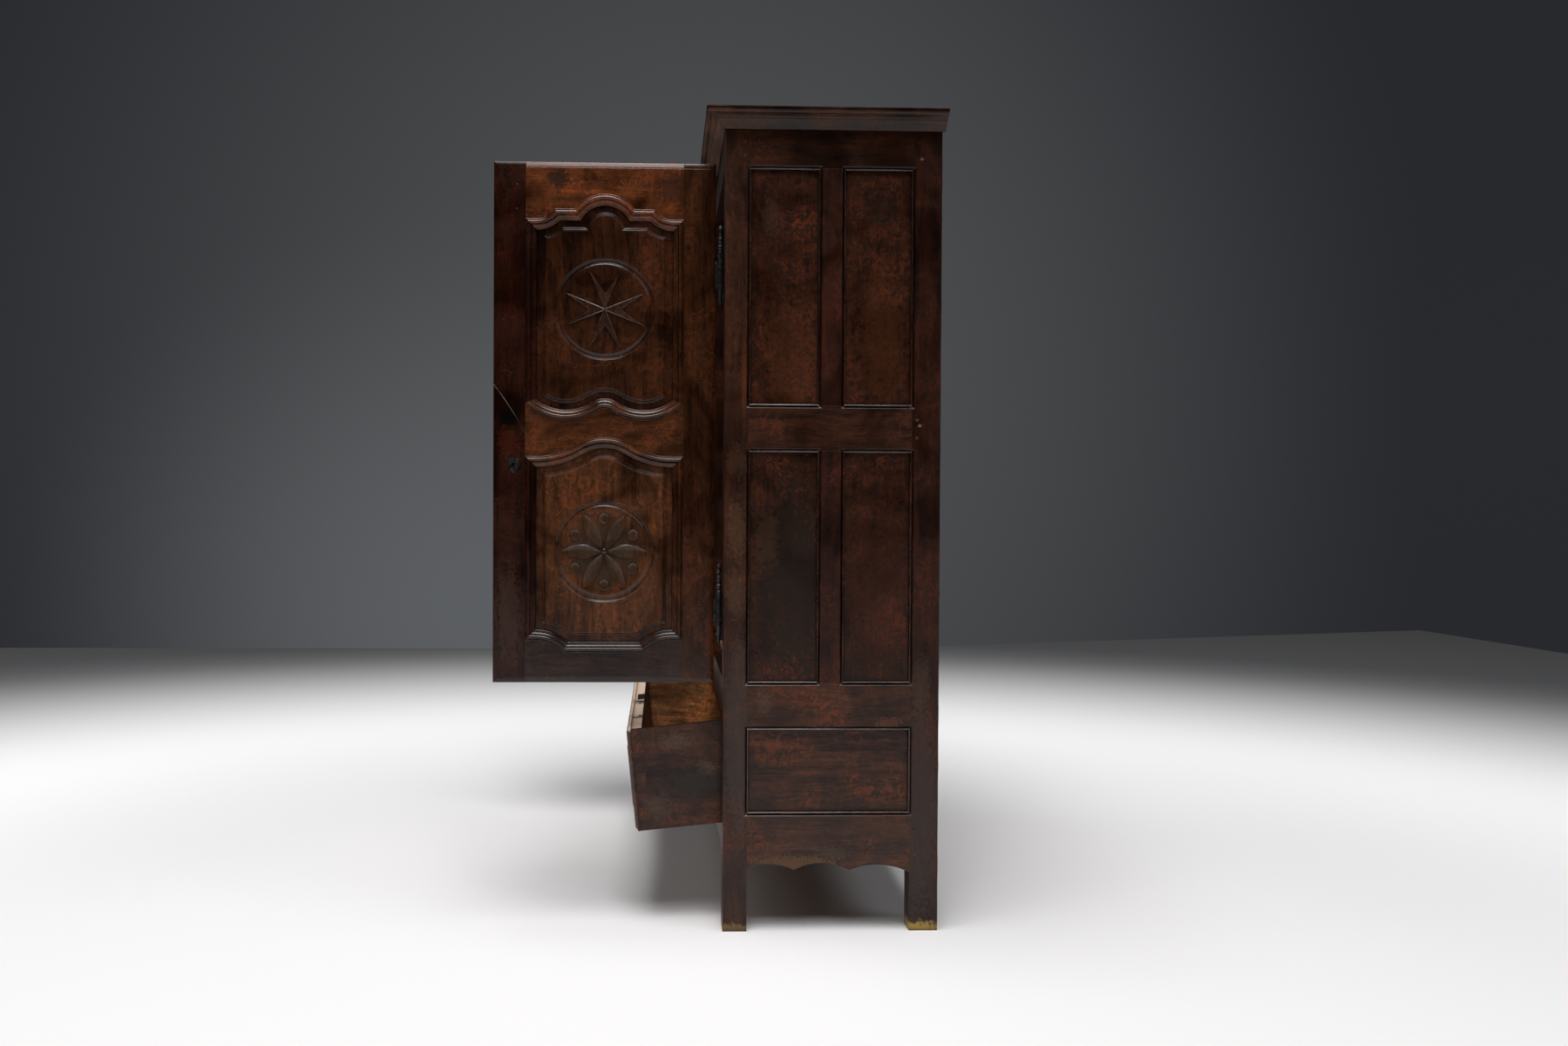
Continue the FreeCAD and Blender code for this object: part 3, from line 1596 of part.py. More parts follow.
bead_back = lip_face + S.drawer_bead_drop
front_pins = []
pin_pitch = (drawer_top - drawer_foot) / DRAWER_PINS
for number in range(DRAWER_PINS):
    pin_foot = drawer_foot + pin_pitch * (number + 0.5) - S.drawer_pin_height / 2
    front_pins.append(
        block(
            (-drawer_half, lip_back, pin_foot),
            (drawer_half, front_back_y, pin_foot + S.drawer_pin_height),
        )
    )
drawer_fields = []
for side in (0, 1):
    outer_x = lip_half - S.drawer_field_margin
    inner_x = S.drawer_field_gap
    low_x = inner_x if side else -outer_x
    high_x = outer_x if side else -inner_x
    drawer_fields.append(
        bevel_slab(
            (low_x, drawer_foot + S.drawer_field_margin),
            (high_x, lip_top - S.drawer_field_margin),
            lip_face - S.drawer_field_rise,
            lip_face,
            S.drawer_field_bevel,
        )
    )
bottom_foot = drawer_foot + S.drawer_bottom_rise
bottom_top = bottom_foot + S.drawer_bottom_thickness
drawer_bottom = block(
    (-(side_inner + S.drawer_groove), front_back_y - S.drawer_groove, bottom_foot),
    (side_inner + S.drawer_groove, drawer_end, bottom_top),
)
lock_half = S.drawer_lock_width / 2
drawer_lock = joined(
    [
        block(
            (-lock_half, front_back_y - S.drawer_lock_thickness, drawer_top - S.drawer_lock_height),
            (lock_half, front_back_y, drawer_top),
        ),
        block(
            (
                -(lock_half + S.drawer_lock_wing),
                front_back_y - S.drawer_lock_thickness - S.drawer_lock_wing,
                drawer_top - S.drawer_lock_lip,
            ),
            (lock_half + S.drawer_lock_wing, front_back_y, drawer_top),
        ),
    ]
)
drawer_key_z = drawer_top - S.drawer_lock_height / 2
key_near = lip_face - S.plate_thickness * 2
key_far = front_back_y - S.drawer_lock_thickness
drawer_keyhole = joined(
    [
        rod((as_size(0), key_near, drawer_key_z), S.keyhole_radius, key_far - key_near, "y"),
        block(
            (-(S.keyhole_slot / 2), key_near, drawer_key_z - S.keyhole_drop),
            (S.keyhole_slot / 2, key_far, drawer_key_z),
        ),
    ]
)
drawer_front_solid = pared(
    joined(
        [
            block((-side_inner, lip_back, drawer_foot), (side_inner, front_back_y, drawer_top)),
            block((-lip_half, bead_back, drawer_foot), (lip_half, lip_back, lip_top)),
            bevel_slab((-lip_half, drawer_foot), (lip_half, lip_top), lip_face, bead_back, S.drawer_bead_width),
        ]
        + front_pins
        + drawer_fields
    ),
    [drawer_bottom, drawer_lock, drawer_keyhole],
)
right_side = pared(
    block((side_inner, lip_back, drawer_foot), (drawer_half, drawer_end, drawer_top)),
    front_pins + [drawer_bottom],
)
back_near = drawer_end - S.drawer_back_thickness
drawer_back = block(
    (-side_inner, back_near, bottom_top),
    (side_inner, drawer_end, drawer_top - S.drawer_back_drop),
)
drawer_shield, shield_half, shield_drop = shield("XZ_Plane")
for axis, place in zip("xyz", (-shield_half, lip_face, drawer_key_z - shield_drop)):
    drawer_shield.setExpression("Placement.Base." + axis, place.text)

droop = FreeCAD.Rotation(FreeCAD.Vector(1, 0, 0), DRAWER_DROOP)
drawn = droop.multVec(FreeCAD.Vector(0, -SIZES["drawer_out"], 0))
hub = FreeCAD.Vector(0, roller_y.value, roller_z.value)
drawer_pose = FreeCAD.Placement(drawn, droop, hub)

drawer_parts = {
    "drawer_front": drawer_front_solid,
    "drawer_side_right": right_side,
    "drawer_side_left": mirrored(right_side),
    "drawer_back": drawer_back,
    "drawer_bottom": drawer_bottom,
    "drawer_lock": drawer_lock,
    "drawer_escutcheon": pared(drawer_shield, [drawer_keyhole]),
}
for label, piece in drawer_parts.items():
    posed = grouped([piece])
    posed.Placement = drawer_pose
    keep(label, posed)


# Every feature has to come out whole before anything is written

doc.recompute()
for thing in doc.Objects:
    if "Invalid" in thing.State or "Error" in thing.State:
        raise RuntimeError(f"{thing.Name} ({thing.TypeId}) failed: {thing.State}")
for thing in PARTS:
    if thing.Shape.isNull() or not thing.Shape.isValid() or not thing.Shape.Solids:
        raise RuntimeError(f"{thing.Label} has no sound shape")

os.makedirs("parts", exist_ok=True)
for thing in PARTS:
    thing.Shape.exportStep(f"parts/{thing.Label}.step")
print(len(PARTS), "sub-parts written")
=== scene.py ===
import json
import logging
import math
from collections.abc import Callable, Iterable
from dataclasses import dataclass, field, replace
from enum import Enum
from functools import partial

import bpy
from mathutils import Matrix, Vector

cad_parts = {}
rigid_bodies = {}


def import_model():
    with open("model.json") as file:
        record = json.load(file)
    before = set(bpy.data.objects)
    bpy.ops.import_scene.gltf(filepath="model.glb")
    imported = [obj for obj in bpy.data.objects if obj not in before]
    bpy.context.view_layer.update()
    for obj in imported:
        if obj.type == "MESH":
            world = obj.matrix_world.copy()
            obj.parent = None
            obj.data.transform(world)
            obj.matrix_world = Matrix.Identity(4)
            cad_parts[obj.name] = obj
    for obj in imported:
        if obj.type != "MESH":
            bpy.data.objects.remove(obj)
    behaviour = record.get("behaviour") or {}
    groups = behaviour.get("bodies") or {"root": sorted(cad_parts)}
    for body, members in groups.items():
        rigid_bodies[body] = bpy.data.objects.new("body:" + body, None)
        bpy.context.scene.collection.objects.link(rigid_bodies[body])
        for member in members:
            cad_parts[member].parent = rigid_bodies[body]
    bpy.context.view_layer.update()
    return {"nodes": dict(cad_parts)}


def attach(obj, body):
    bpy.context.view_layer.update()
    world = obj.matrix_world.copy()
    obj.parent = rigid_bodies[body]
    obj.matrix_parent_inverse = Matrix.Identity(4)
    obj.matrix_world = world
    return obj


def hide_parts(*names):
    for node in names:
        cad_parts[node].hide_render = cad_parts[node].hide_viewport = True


for leftover in list(bpy.data.objects):
    bpy.data.objects.remove(leftover)
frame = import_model()

log = logging.getLogger("press")

Colour = tuple[float, float, float]
Point = tuple[float, float, float]
Spot = tuple[float, float]
Step = tuple[float, float, int]
Piece = bpy.types.Object
Socket = bpy.types.NodeSocket

# The millimetres in a metre, and the material numbers of arrises and of grooves darkened for soot and as painted shade.
MM = 1000
ARRIS = 1
SOOT_AND_SHADE = 2

# The distances in metres under which points become one.
CAD_MERGE = 0.00002
WORN_MERGE = 0.0001
SKIN_MERGE = 0.00003

# The picture's width in pixels and the camera's sensor in millimetres.
PHOTO_WIDTH = 1799
SENSOR = 36.0


class Grain(Enum):
    """The way that the fibres of a board run."""

    ACROSS = 0
    DEEP = 1
    UPRIGHT = 2

    def along(self, share: float, rest: float = 1.0) -> Point:
        """Gives three numbers, of which the one along the grain differs.

        Args:
            share: The number along the grain.
            rest: The number on the two other axes.

        Returns:
            The three numbers.
        """
        return tuple(share if axis == self.value else rest for axis in range(3))


class Hand(Enum):
    """The side of the press, seen from its front."""

    RIGHT = 1
    LEFT = -1

    @property
    def word(self) -> str:
        """The side's name as the nodes give it."""
        return self.name.lower()


class End(Enum):
    """The shapes that the ends of a door's openings have."""

    ARCH = "arch"
    WAVE = "wave"
    OGEE = "ogee"
    SCOOP = "scoop"


class Web:
    """A material or world and the nodes that make it."""

    def __init__(self, owner: bpy.types.ID) -> None:
        """Starts with no nodes.

        Args:
            owner: The material or world.
        """
        self.owner = owner
        owner.use_nodes = True
        self.tree = owner.node_tree
        self.tree.nodes.clear()

    def add(self, kind: str, sockets: dict | None = None, **settings: object) -> bpy.types.Node:
        """Adds a node and fills its sockets.

        Args:
            kind: The node's type without the leading ShaderNode.
            sockets: What each input gets, a value or another node's output.
            settings: The node's own settings.

        Returns:
            The new node.
        """
        node = self.tree.nodes.new("ShaderNode" + kind)
        for name, value in settings.items():
            setattr(node, name, value)
        for key, value in (sockets or {}).items():
            socket = node.inputs[key]
            if isinstance(value, bpy.types.NodeSocket):
                self.tree.links.new(value, socket)
            elif isinstance(value, tuple) and socket.type == "RGBA" and len(value) == 3:
                socket.default_value = (*value, 1)
            else:
                socket.default_value = value
        return node

    def math(self, operation: str, *values: object) -> Socket:
        """Works on numbers.

        Args:
            operation: The sum to do.
            values: The numbers or outputs that it takes.

        Returns:
            The result's output.
        """
        return self.add("Math", dict(enumerate(values)), operation=operation).outputs[0]

    def vector(self, operation: str, *values: object) -> Socket:
        """Works on places.

        Args:
            operation: The sum to do.
            values: The places or outputs that it takes.

        Returns:
            The result's output.
        """
        node = self.add("VectorMath", dict(enumerate(values)), operation=operation)
        return node.outputs["Value" if operation == "LENGTH" else 0]

    def swing(self, pattern: Socket, share: float) -> Socket:
        """Centres a pattern on zero and weighs it.

        Args:
            pattern: The pattern, which swings about a half.
            share: Its weight.

        Returns:
            The weighed pattern's output.
        """
        return self.math("MULTIPLY", self.math("SUBTRACT", pattern, 0.5), share)

    def span(self, value: object, low: float, high: float, start: float = 0.0, end: float = 1.0) -> Socket:
        """Maps a value smoothly from one span to another.

        Args:
            value: The output to map.
            low: The value that gives start.
            high: The value that gives end.
            start: The result at low.
            end: The result at high.

        Returns:
            The mapped output.
        """
        sockets = {"Value": value, "From Min": low, "From Max": high, "To Min": start, "To Max": end}
        return self.add("MapRange", sockets, interpolation_type="SMOOTHSTEP").outputs[0]

    def blend(self, share: object, first: object, second: object, way: str = "MIX") -> Socket:
        """Mixes two colours.

        Args:
            share: How much of the second colour there is.
            first: The first colour or output.
            second: The second colour or output.
            way: The way of mixing.

        Returns:
            The mixed colour's output.
        """
        node = self.add("Mix", {0: share, 6: first, 7: second}, data_type="RGBA", blend_type=way)
        return node.outputs[2]

    def noise(
        self, place: Socket, scale: float, detail: float, rough: float, bend: float = 0.0, output: int | str = 0
    ) -> Socket:
        """Adds a noise pattern.

        Args:
            place: The output that gives the place.
            scale: The number of patches in a metre.
            detail: The number of finer layers.
            rough: How strong the finer layers are.
            bend: How far the pattern is bent.
            output: Which of the node's outputs is used.

        Returns:
            The pattern's output.
        """
        sockets = {"Vector": place, "Scale": scale, "Detail": detail, "Roughness": rough, "Distortion": bend}
        return self.add("TexNoise", sockets).outputs[output]

    def moved(self, place: Socket, shift: Point = (0, 0, 0), scale: Point = (1, 1, 1)) -> Socket:
        """Shifts and stretches a place.

        Args:
            place: The output that gives the place.
            shift: How far the pattern moves.
            scale: How much each axis is stretched.

        Returns:
            The new place's output.
        """
        sockets = {"Vector": place, "Location": shift, "Scale": scale}
        return self.add("Mapping", sockets).outputs[0]

    def surface(self, colour: Socket, polish: Socket, height: Socket, strength: float, **more: float) -> bpy.types.ID:
        """Ends the web in a shiny surface with a fine relief.

        Args:
            colour: The output that gives the colour.
            polish: The output that gives the roughness.
            height: The output that gives the relief.
            strength: How strongly the relief shows.
            more: The shader's other sockets.

        Returns:
            The finished material.
        """
        bump = self.add("Bump", {"Height": height, "Strength": strength, "Distance": 0.0008}).outputs[0]
        sockets = {"Base Color": colour, "Roughness": polish, "Normal": bump, **more}
        return self.close(self.add("BsdfPrincipled", sockets).outputs[0])

    def close(self, shader: Socket, end: str = "OutputMaterial") -> bpy.types.ID:
        """Ends the web in a shader.

        Args:
            shader: The output that gives the surface.
            end: The type of the last node.

        Returns:
            The finished material or world.
        """
        self.add(end, {"Surface": shader})
        return self.owner


@dataclass(frozen=True)
class Stain:
    """A soft-edged patch of another tone on one board."""

    centre: Point
    reach: Point
    tone: Colour
    share: float = 0.8
    ragged: float = 0.5


# Each pattern's patches in a metre, its finer layers, their strength and its bend.
STREAKS = (46, 8, 0.66, 0.5)
FIBRES = (420, 4, 0.6)
PORES = (760, 2, 0.5)
CLOUDS = (5.2, 6, 0.62, 0.9)
KNOTS = (46, 7, 0.68, 1.8)
DRIFT = (2.6, 3.0, 0.55)
GRIT = (330, 3, 0.7)
RUBBING = (28, 5, 0.7)
RIPPLE = (11, 2, 0.5)
DENTS = (120, 3, 0.5)
SCALE = (85, 6, 0.65, 0.6)
PITS = (700, 3, 0.6)

# The tints of dark polish, of open pores, of old dust, of grime and painted shade in the hollows and of rust.
POLISH_TINT = (0.26, 0.2, 0.2)
PORE_TINT = (0.25, 0.2, 0.2)
DUST_TINT = (0.22, 0.17, 0.13)
GRIME_AND_SHADE_TINT = (0.16, 0.13, 0.12)
RUST_TINT = (0.11, 0.035, 0.016)


@dataclass(frozen=True)
class Wood:
    """Old waxed timber, with fibres, pores, clouds of dark polish, scuffs and painted shade in its hollows."""

    body: Colour
    grain: Grain = Grain.UPRIGHT
    contrast: float = 1.0
    cloud: float = 0.55
    burl: float = 0.25
    flame: float = 0.6
    dust: float = 0.15
    rough: float = 0.34
    wear: float = 0.0
    gloss: float = 1.37
    nook: float = 0.016
    wax: Colour = (1.78, 2.06, 2.2)
    stains: tuple[Stain, ...] = ()

    def tinted(self, red: float, green: float, blue: float) -> Colour:
        """Gives the body's tone with each part multiplied."""
        return (self.body[0] * red, self.body[1] * green, self.body[2] * blue)

    def rubbed(self, wear: float) -> "Wood":
        """Gives the finish of the rounded arrises, rubbed pale by this much and polished."""
        return replace(self, wear=wear, rough=max(0.17, self.rough - 0.12), cloud=self.cloud * 0.5, gloss=2.1)

    def sooty(self) -> "Wood":
        """Gives the finish of the sunk grooves, darkened for old dirt and as painted shade."""
        return replace(self, body=self.tinted(0.26, 0.26, 0.26), flame=0.1, stains=())

    def stained(self, web: Web, here: Socket, base: Socket, colour: Socket) -> Socket:
        """Lays the stains over the wood.

        Args:
            web: The material's nodes.
            here: The place on the press.
            base: The place in the pattern.
            colour: The wood's colour.

        Returns:
            The stained colour.
        """
        for stain in self.stains:
            off = web.vector("DIVIDE", web.vector("SUBTRACT", here, stain.centre), stain.reach)
            torn = web.noise(base, 3.2 / max(min(stain.reach), 0.004), 4, 0.6)
            far = web.math("ADD", web.vector("LENGTH", off), web.swing(torn, stain.ragged * 3))
            colour = web.blend(web.span(far, 1.0, 0.55, 0.0, stain.share), colour, stain.tone)
        return colour

    def material(self, name: str) -> bpy.types.ID:
        """Makes the timber's material.

        Args:
            name: The material's name, which also sets where its pattern starts.

        Returns:
            The material.
        """
        web = Web(bpy.data.materials.new(name))
        code = sum((place + 3) * ord(letter) for place, letter in enumerate(name))
        here = web.add("TexCoord").outputs["Object"]
        base = web.moved(here, ((code % 17) * 0.73, (code % 23) * 0.61, (code % 29) * 0.47))
        lean = web.vector("SUBTRACT", web.noise(base, *DRIFT, output="Color"), (0.5, 0.5, 0.5))
        bent = web.vector("MULTIPLY_ADD", lean, (0.07, 0.07, 0.07), base)
        slow = self.grain.along(0.07)
        run = web.moved(bent, scale=slow)
        streaks = web.noise(run, *STREAKS)
        fibres = web.noise(web.moved(bent, scale=self.grain.along(0.022)), *FIBRES)
        pores = web.noise(web.moved(base, scale=slow), *PORES)
        clouds = web.noise(base, *CLOUDS)
        knots = web.noise(base, *KNOTS)

        tone = web.swing(streaks, 0.62 - self.burl * 0.35)
        tone = web.math("ADD", tone, web.swing(knots, self.burl * 0.8))
        tone = web.math("ADD", tone, web.swing(fibres, 0.36))
        tone = web.span(tone, -0.16 / self.contrast, 0.17 / self.contrast)
        colour = web.blend(web.span(tone, 0.0, 0.6), self.tinted(0.42, 0.47, 0.52), self.body)
        colour = web.blend(web.span(tone, 0.6, 1.0, 0.0, 0.8), colour, self.tinted(1.9, 1.7, 1.45))
        flecks = web.math("MULTIPLY", web.span(clouds, 0.46, 0.66), web.span(knots, 0.42, 0.66))
        colour = web.blend(web.math("MULTIPLY", flecks, self.flame), colour, self.tinted(2.9, 1.9, 1.0))
        colour = web.blend(web.span(clouds, 0.54, 0.34, 0.0, self.cloud), colour, POLISH_TINT, "MULTIPLY")
        ticks = web.span(pores, 0.6, 0.74, 0.0, 0.3)
        colour = web.blend(ticks, colour, PORE_TINT, "MULTIPLY")
        colour = self.stained(web, here, base, colour)
        grit = web.span(web.noise(base, *GRIT), 0.6, 0.8)
        bloom = web.math("MULTIPLY", grit, web.span(clouds, 0.42, 0.62, 0.0, self.dust))
        colour = web.blend(bloom, colour, DUST_TINT)
        if self.wear:
            red, green, blue = self.tinted(3.2, 3.4, 3.4)
            rub = web.span(web.noise(base, *RUBBING), 0.5, 0.72, 0.0, self.wear)
            colour = web.blend(rub, colour, (red + 0.05, green + 0.035, blue + 0.025))
        # Painted shade: the colour is darkened where nearby shapes hide the wood, standing for shade as well as old
        # grime in the hollows.
        nook = web.add("AmbientOcclusion", {"Distance": self.nook}, samples=6).outputs["AO"]
        colour = web.blend(web.span(nook, 0.9, 0.4, 0.0, 0.9), colour, GRIME_AND_SHADE_TINT, "MULTIPLY")
        deepened = web.add("Gamma", {"Color": colour, "Gamma": 1.25}).outputs[0]
        colour = web.blend(1.0, deepened, self.wax, "MULTIPLY")

        dents = web.math("MULTIPLY", web.noise(base, *DENTS), 0.3)
        height = web.math("ADD", web.math("MULTIPLY", fibres, 0.07), dents)
        height = web.math("SUBTRACT", height, web.math("MULTIPLY", ticks, 0.25))
        height = web.math("ADD", height, web.math("MULTIPLY", web.noise(run, *RIPPLE), 2.0))
        polish = web.span(clouds, 0.3, 0.7, self.rough - 0.06, self.rough + 0.1)
        polish = web.math("ADD", polish, web.swing(knots, 0.12))
        polish = web.math("ADD", polish, web.math("MULTIPLY", ticks, 0.2))
        return web.surface(colour, polish, height, 0.6, IOR=self.gloss)


@dataclass(frozen=True)
class Iron:
    """Forged iron with dark oil and a little rust."""

    body: Colour = (0.035, 0.031, 0.03)
    rust: float = 0.3
    rough: float = 0.34

    def material(self, name: str) -> bpy.types.ID:
        """Makes the iron's material.

        Args:
            name: The material's name.

        Returns:
            The material.
        """
        web = Web(bpy.data.materials.new(name))
        here = web.add("TexCoord").outputs["Object"]
        scale = web.noise(here, *SCALE)
        dark, light = (tuple(part * share for part in self.body) for share in (0.6, 1.9))
        colour = web.blend(web.span(scale, 0.35, 0.7), dark, light)
        colour = web.blend(web.span(scale, 0.56, 0.72, 0.0, self.rust), colour, RUST_TINT)
        pits = web.math("MULTIPLY", web.noise(here, *PITS), 0.4)
        height = web.math("ADD", web.math("MULTIPLY", scale, 0.8), pits)
        polish = web.span(scale, 0.3, 0.7, self.rough - 0.1, self.rough + 0.2)
        return web.surface(colour, polish, height, 0.5, Metallic=0.75)


def weave(first: int, rows: int, wide: int, closed: bool = True) -> list[tuple[int, ...]]:
    """Lists the faces between rows of points.

    Args:
        first: The number of the first point.
        rows: How many rows there are.
        wide: How many points a row has.
        closed: True where each row is a loop.

    Returns:
        The points of each face, strip by strip.
    """
    faces = []
    for row in range(rows - 1):
        start = first + row * wide
        for place in range(wide if closed else wide - 1):
            here, after = start + place, start + (place + 1) % wide
            faces.append((here, after, after + wide, here + wide))
    return faces


class Bench:
    """The shared hand tools that make, cut, ease and finish pieces."""

    MERGE = partial(bpy.ops.mesh.remove_doubles, threshold=SKIN_MERGE)
    FACE_OUT = partial(bpy.ops.mesh.normals_make_consistent, inside=False)

    @staticmethod
    def hold(*pieces: Piece) -> None:
        """Selects these pieces alone and makes the last one active.

        Args:
            pieces: The pieces to work on.
        """
        if bpy.context.object and bpy.context.object.mode != "OBJECT":
            bpy.ops.object.mode_set(mode="OBJECT")
        bpy.ops.object.select_all(action="DESELECT")
        for piece in pieces:
            piece.select_set(True)
            bpy.context.view_layer.objects.active = piece

    @staticmethod
    def edit(piece: Piece, *works: Callable[[], object]) -> None:
        """Works on the whole of a piece in edit mode.

        Args:
            piece: The piece.
            works: The operators, in their order.
        """
        Bench.hold(piece)
        bpy.ops.object.mode_set(mode="EDIT")
        bpy.ops.mesh.select_all(action="SELECT")
        for work in works:
            work()
        bpy.ops.object.mode_set(mode="OBJECT")

    @staticmethod
    def modify(piece: Piece, kind: str, **settings: object) -> None:
        """Gives a piece a modifier and applies it.

        Args:
            piece: The piece.
            kind: The modifier's type.
            settings: Its settings.
        """
        Bench.hold(piece)
        step = piece.modifiers.new(kind.lower(), kind)
        for name, value in settings.items():
            setattr(step, name, value)
        bpy.ops.object.modifier_apply(modifier=step.name)

    @staticmethod
    def make(name: str, points: list[Point], faces: Iterable, marks: Iterable[int] = (), edges: Iterable = ()) -> Piece:
        """Makes a piece from its points.

        Args:
            name: The piece's name.
            points: Its points.
            faces: The points of each face.
            marks: The material of each face, where they differ.
            edges: The points of each edge that has no face.

        Returns:
            The piece.
        """
        mesh = bpy.data.meshes.new(name)
        mesh.from_pydata(points, edges, faces)
        if marks:
            mesh.polygons.foreach_set("material_index", marks)
        piece = bpy.data.objects.new(name, mesh)
        bpy.context.scene.collection.objects.link(piece)
        return piece

    @staticmethod
    def skin(name: str, rows: list[list[Point]], marks: list[int], closed: bool = True) -> Piece:
        """Skins rows of points.

        Args:
            name: The piece's name.
            rows: The rows, all with as many points.
            marks: The material of the strip that starts at each row.
            closed: True where each row is a loop.

        Returns:
            The skin.
        """
        wide = len(rows[0])
        strips = [mark for mark in marks[:-1] for _ in range(wide if closed else wide - 1)]
        return Bench.make(name, sum(rows, []), weave(0, len(rows), wide, closed), strips)

    @staticmethod
    def outwards(piece: Piece, hand: Hand = Hand.RIGHT) -> None:
        """Turns a skin over where most of it faces into the press.

        Args:
            piece: The skin.
            hand: The side of the press that it is on.
        """
        if sum(face.normal.x * face.area for face in piece.data.polygons) * hand.value < 0:
            piece.data.flip_normals()

    @staticmethod
    def take(node: str, merge: float = CAD_MERGE) -> Piece:
        """Copies a CAD node as one clean shell for each solid.

        Args:
            node: The node's name.
            merge: The distance under which points become one, in metres.

        Returns:
            The copy.
        """
        source = frame["nodes"][node]
        piece = bpy.data.objects.new("worn_" + node, source.data.copy())
        bpy.context.scene.collection.objects.link(piece)
        piece.data.materials.clear()
        Bench.edit(
            piece,
            partial(bpy.ops.mesh.remove_doubles, threshold=merge),
            partial(bpy.ops.mesh.dissolve_limited, angle_limit=math.radians(0.6)),
        )
        return piece

    @staticmethod
    def score(piece: Piece, axis: Grain, pitch: float) -> None:
        """Cuts rows of points across a piece, so that it can be shaped along its length.

        Args:
            piece: The piece.
            axis: The axis along which the rows follow each other.
            pitch: The distance between two rows, in metres.
        """
        places = [vertex.co[axis.value] for vertex in piece.data.vertices]
        low, high = min(places), max(places)
        count = int((high - low) / pitch)
        works = []
        for row in range(1, count):
            place = low + (high - low) * row / count + 0.0003 * math.sin(row * 7.3)
            works.append(partial(bpy.ops.mesh.select_all, action="SELECT"))
            works.append(
                partial(bpy.ops.mesh.bisect, plane_co=axis.along(place, 0.0), plane_no=axis.along(1.0, 0.0))
            )
        Bench.edit(piece, *works)

    @staticmethod
    def ease(piece: Piece, width: float, angle: float = 28) -> None:
        """Rounds the arrises of a piece and gives them the arris material.

        Args:
            piece: The piece.
            width: How far the rounding reaches, in metres.
            angle: The least turn of an edge that is rounded, in degrees.
        """
        Bench.modify(
            piece,
            "BEVEL",
            width=width,
            segments=3,
            limit_method="ANGLE",
            angle_limit=math.radians(angle),
            use_clamp_overlap=True,
            miter_outer="MITER_ARC",
            material=ARRIS,
        )

    @staticmethod
    def wobble(piece: Piece, depth: float, size: float) -> None:
        """Makes flat and straight parts slightly uneven.

        Args:
            piece: The piece.
            depth: The whole height of the unevenness, in metres.
            size: The size of one swell, in metres.
        """
        swell = bpy.data.textures.new(piece.name + "_swell", "CLOUDS")
        swell.noise_scale = size
        swell.noise_depth = 3
        Bench.modify(piece, "DISPLACE", texture=swell, texture_coords="LOCAL", strength=depth, mid_level=0.5)

    @staticmethod
    def smooth(piece: Piece, angle: float = 32) -> None:
        """Shades the faces that meet at a small angle as one curved face.

        Args:
            piece: The piece.
            angle: The largest such angle, in degrees.
        """
        Bench.hold(piece)
        bpy.ops.object.shade_smooth_by_angle(angle=math.radians(angle))
        Bench.modify(piece, "WEIGHTED_NORMAL", keep_sharp=True, weight=90)

    @staticmethod
    def dress(piece: Piece, finish: Wood, wear: float) -> None:
        """Gives a piece its finish, a rubbed one for its arrises and one darkened for dirt and as painted shade for its
        grooves.

        Args:
            piece: The piece.
            finish: The finish.
            wear: How much of the arrises is rubbed pale.
        """
        coats = piece.data.materials
        coats.clear()
        coats.append(finish.material(piece.name))
        coats.append(finish.rubbed(wear).material(piece.name + "_arris"))
        if any(face.material_index == SOOT_AND_SHADE for face in piece.data.polygons):
            coats.append(finish.sooty().material(piece.name + "_sooty"))

    @staticmethod
    def fit(piece: Piece, body: str, slot: str, *nodes: str) -> None:
        """Hangs a finished piece on its body.

        Args:
            piece: The piece.
            body: The body that it moves with.
            slot: Not used.
            nodes: The CAD nodes that it stands for.
        """
        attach(piece, body)
        if nodes:
            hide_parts(*nodes)
        log.info("%s rides on %s with %d faces", piece.name, body, len(piece.data.polygons))

    @staticmethod
    def finish(piece: Piece, finish: Wood, wear: float, body: str, *nodes: str, angle: float = 32) -> None:
        """Smooths and dresses a walnut piece and hangs it on its body.

        Args:
            piece: The piece.
            finish: Its finish.
            wear: How much of the arrises is rubbed pale.
            body: The body that it moves with.
            nodes: The CAD nodes that it stands for.
            angle: The largest angle that is shaded as a curve, in degrees.
        """
        Bench.smooth(piece, angle)
        Bench.dress(piece, finish, wear)
        Bench.fit(piece, body, "walnut", *nodes)


@dataclass(frozen=True)
class Board:
    """How one wooden CAD node is worked over."""

    finish: Wood
    ease: float = 0.0016
    pitch: float = 0.05
    swell: float = 0.0007
    size: float = 0.09
    wear: float = 0.45
    merge: float = CAD_MERGE

    def refinished(self, **changes: object) -> "Board":
        """Gives the same board with these changes of its finish."""
        return replace(self, finish=replace(self.finish, **changes))


@dataclass
class Joinery:
    """Wooden nodes of one body, each worked over and finished."""

    body: str
    boards: dict[str, Board]

    def build(self) -> None:
        """Works every board of the set."""
        for node, board in self.boards.items():
            piece = Bench.take(node, board.merge)
            if board.pitch:
                Bench.score(piece, board.finish.grain, board.pitch)
            if board.ease:
                Bench.ease(piece, board.ease)
            if board.swell:
                Bench.wobble(piece, board.swell, board.size)
            Bench.finish(piece, board.finish, board.wear, self.body, node)


@dataclass
class PlainNodes:
    """CAD nodes that keep their shape and get a finish."""

    prefix: str
    nodes: dict[str, Wood | Iron]

    def build(self) -> None:
        """Gives each node its finish."""
        for node, finish in self.nodes.items():
            coats = frame["nodes"][node].data.materials
            if coats:
                coats[0] = finish.material(self.prefix + node)
            else:
                coats.append(finish.material(self.prefix + node))
            log.info("%s keeps its shape and gets its finish", node)


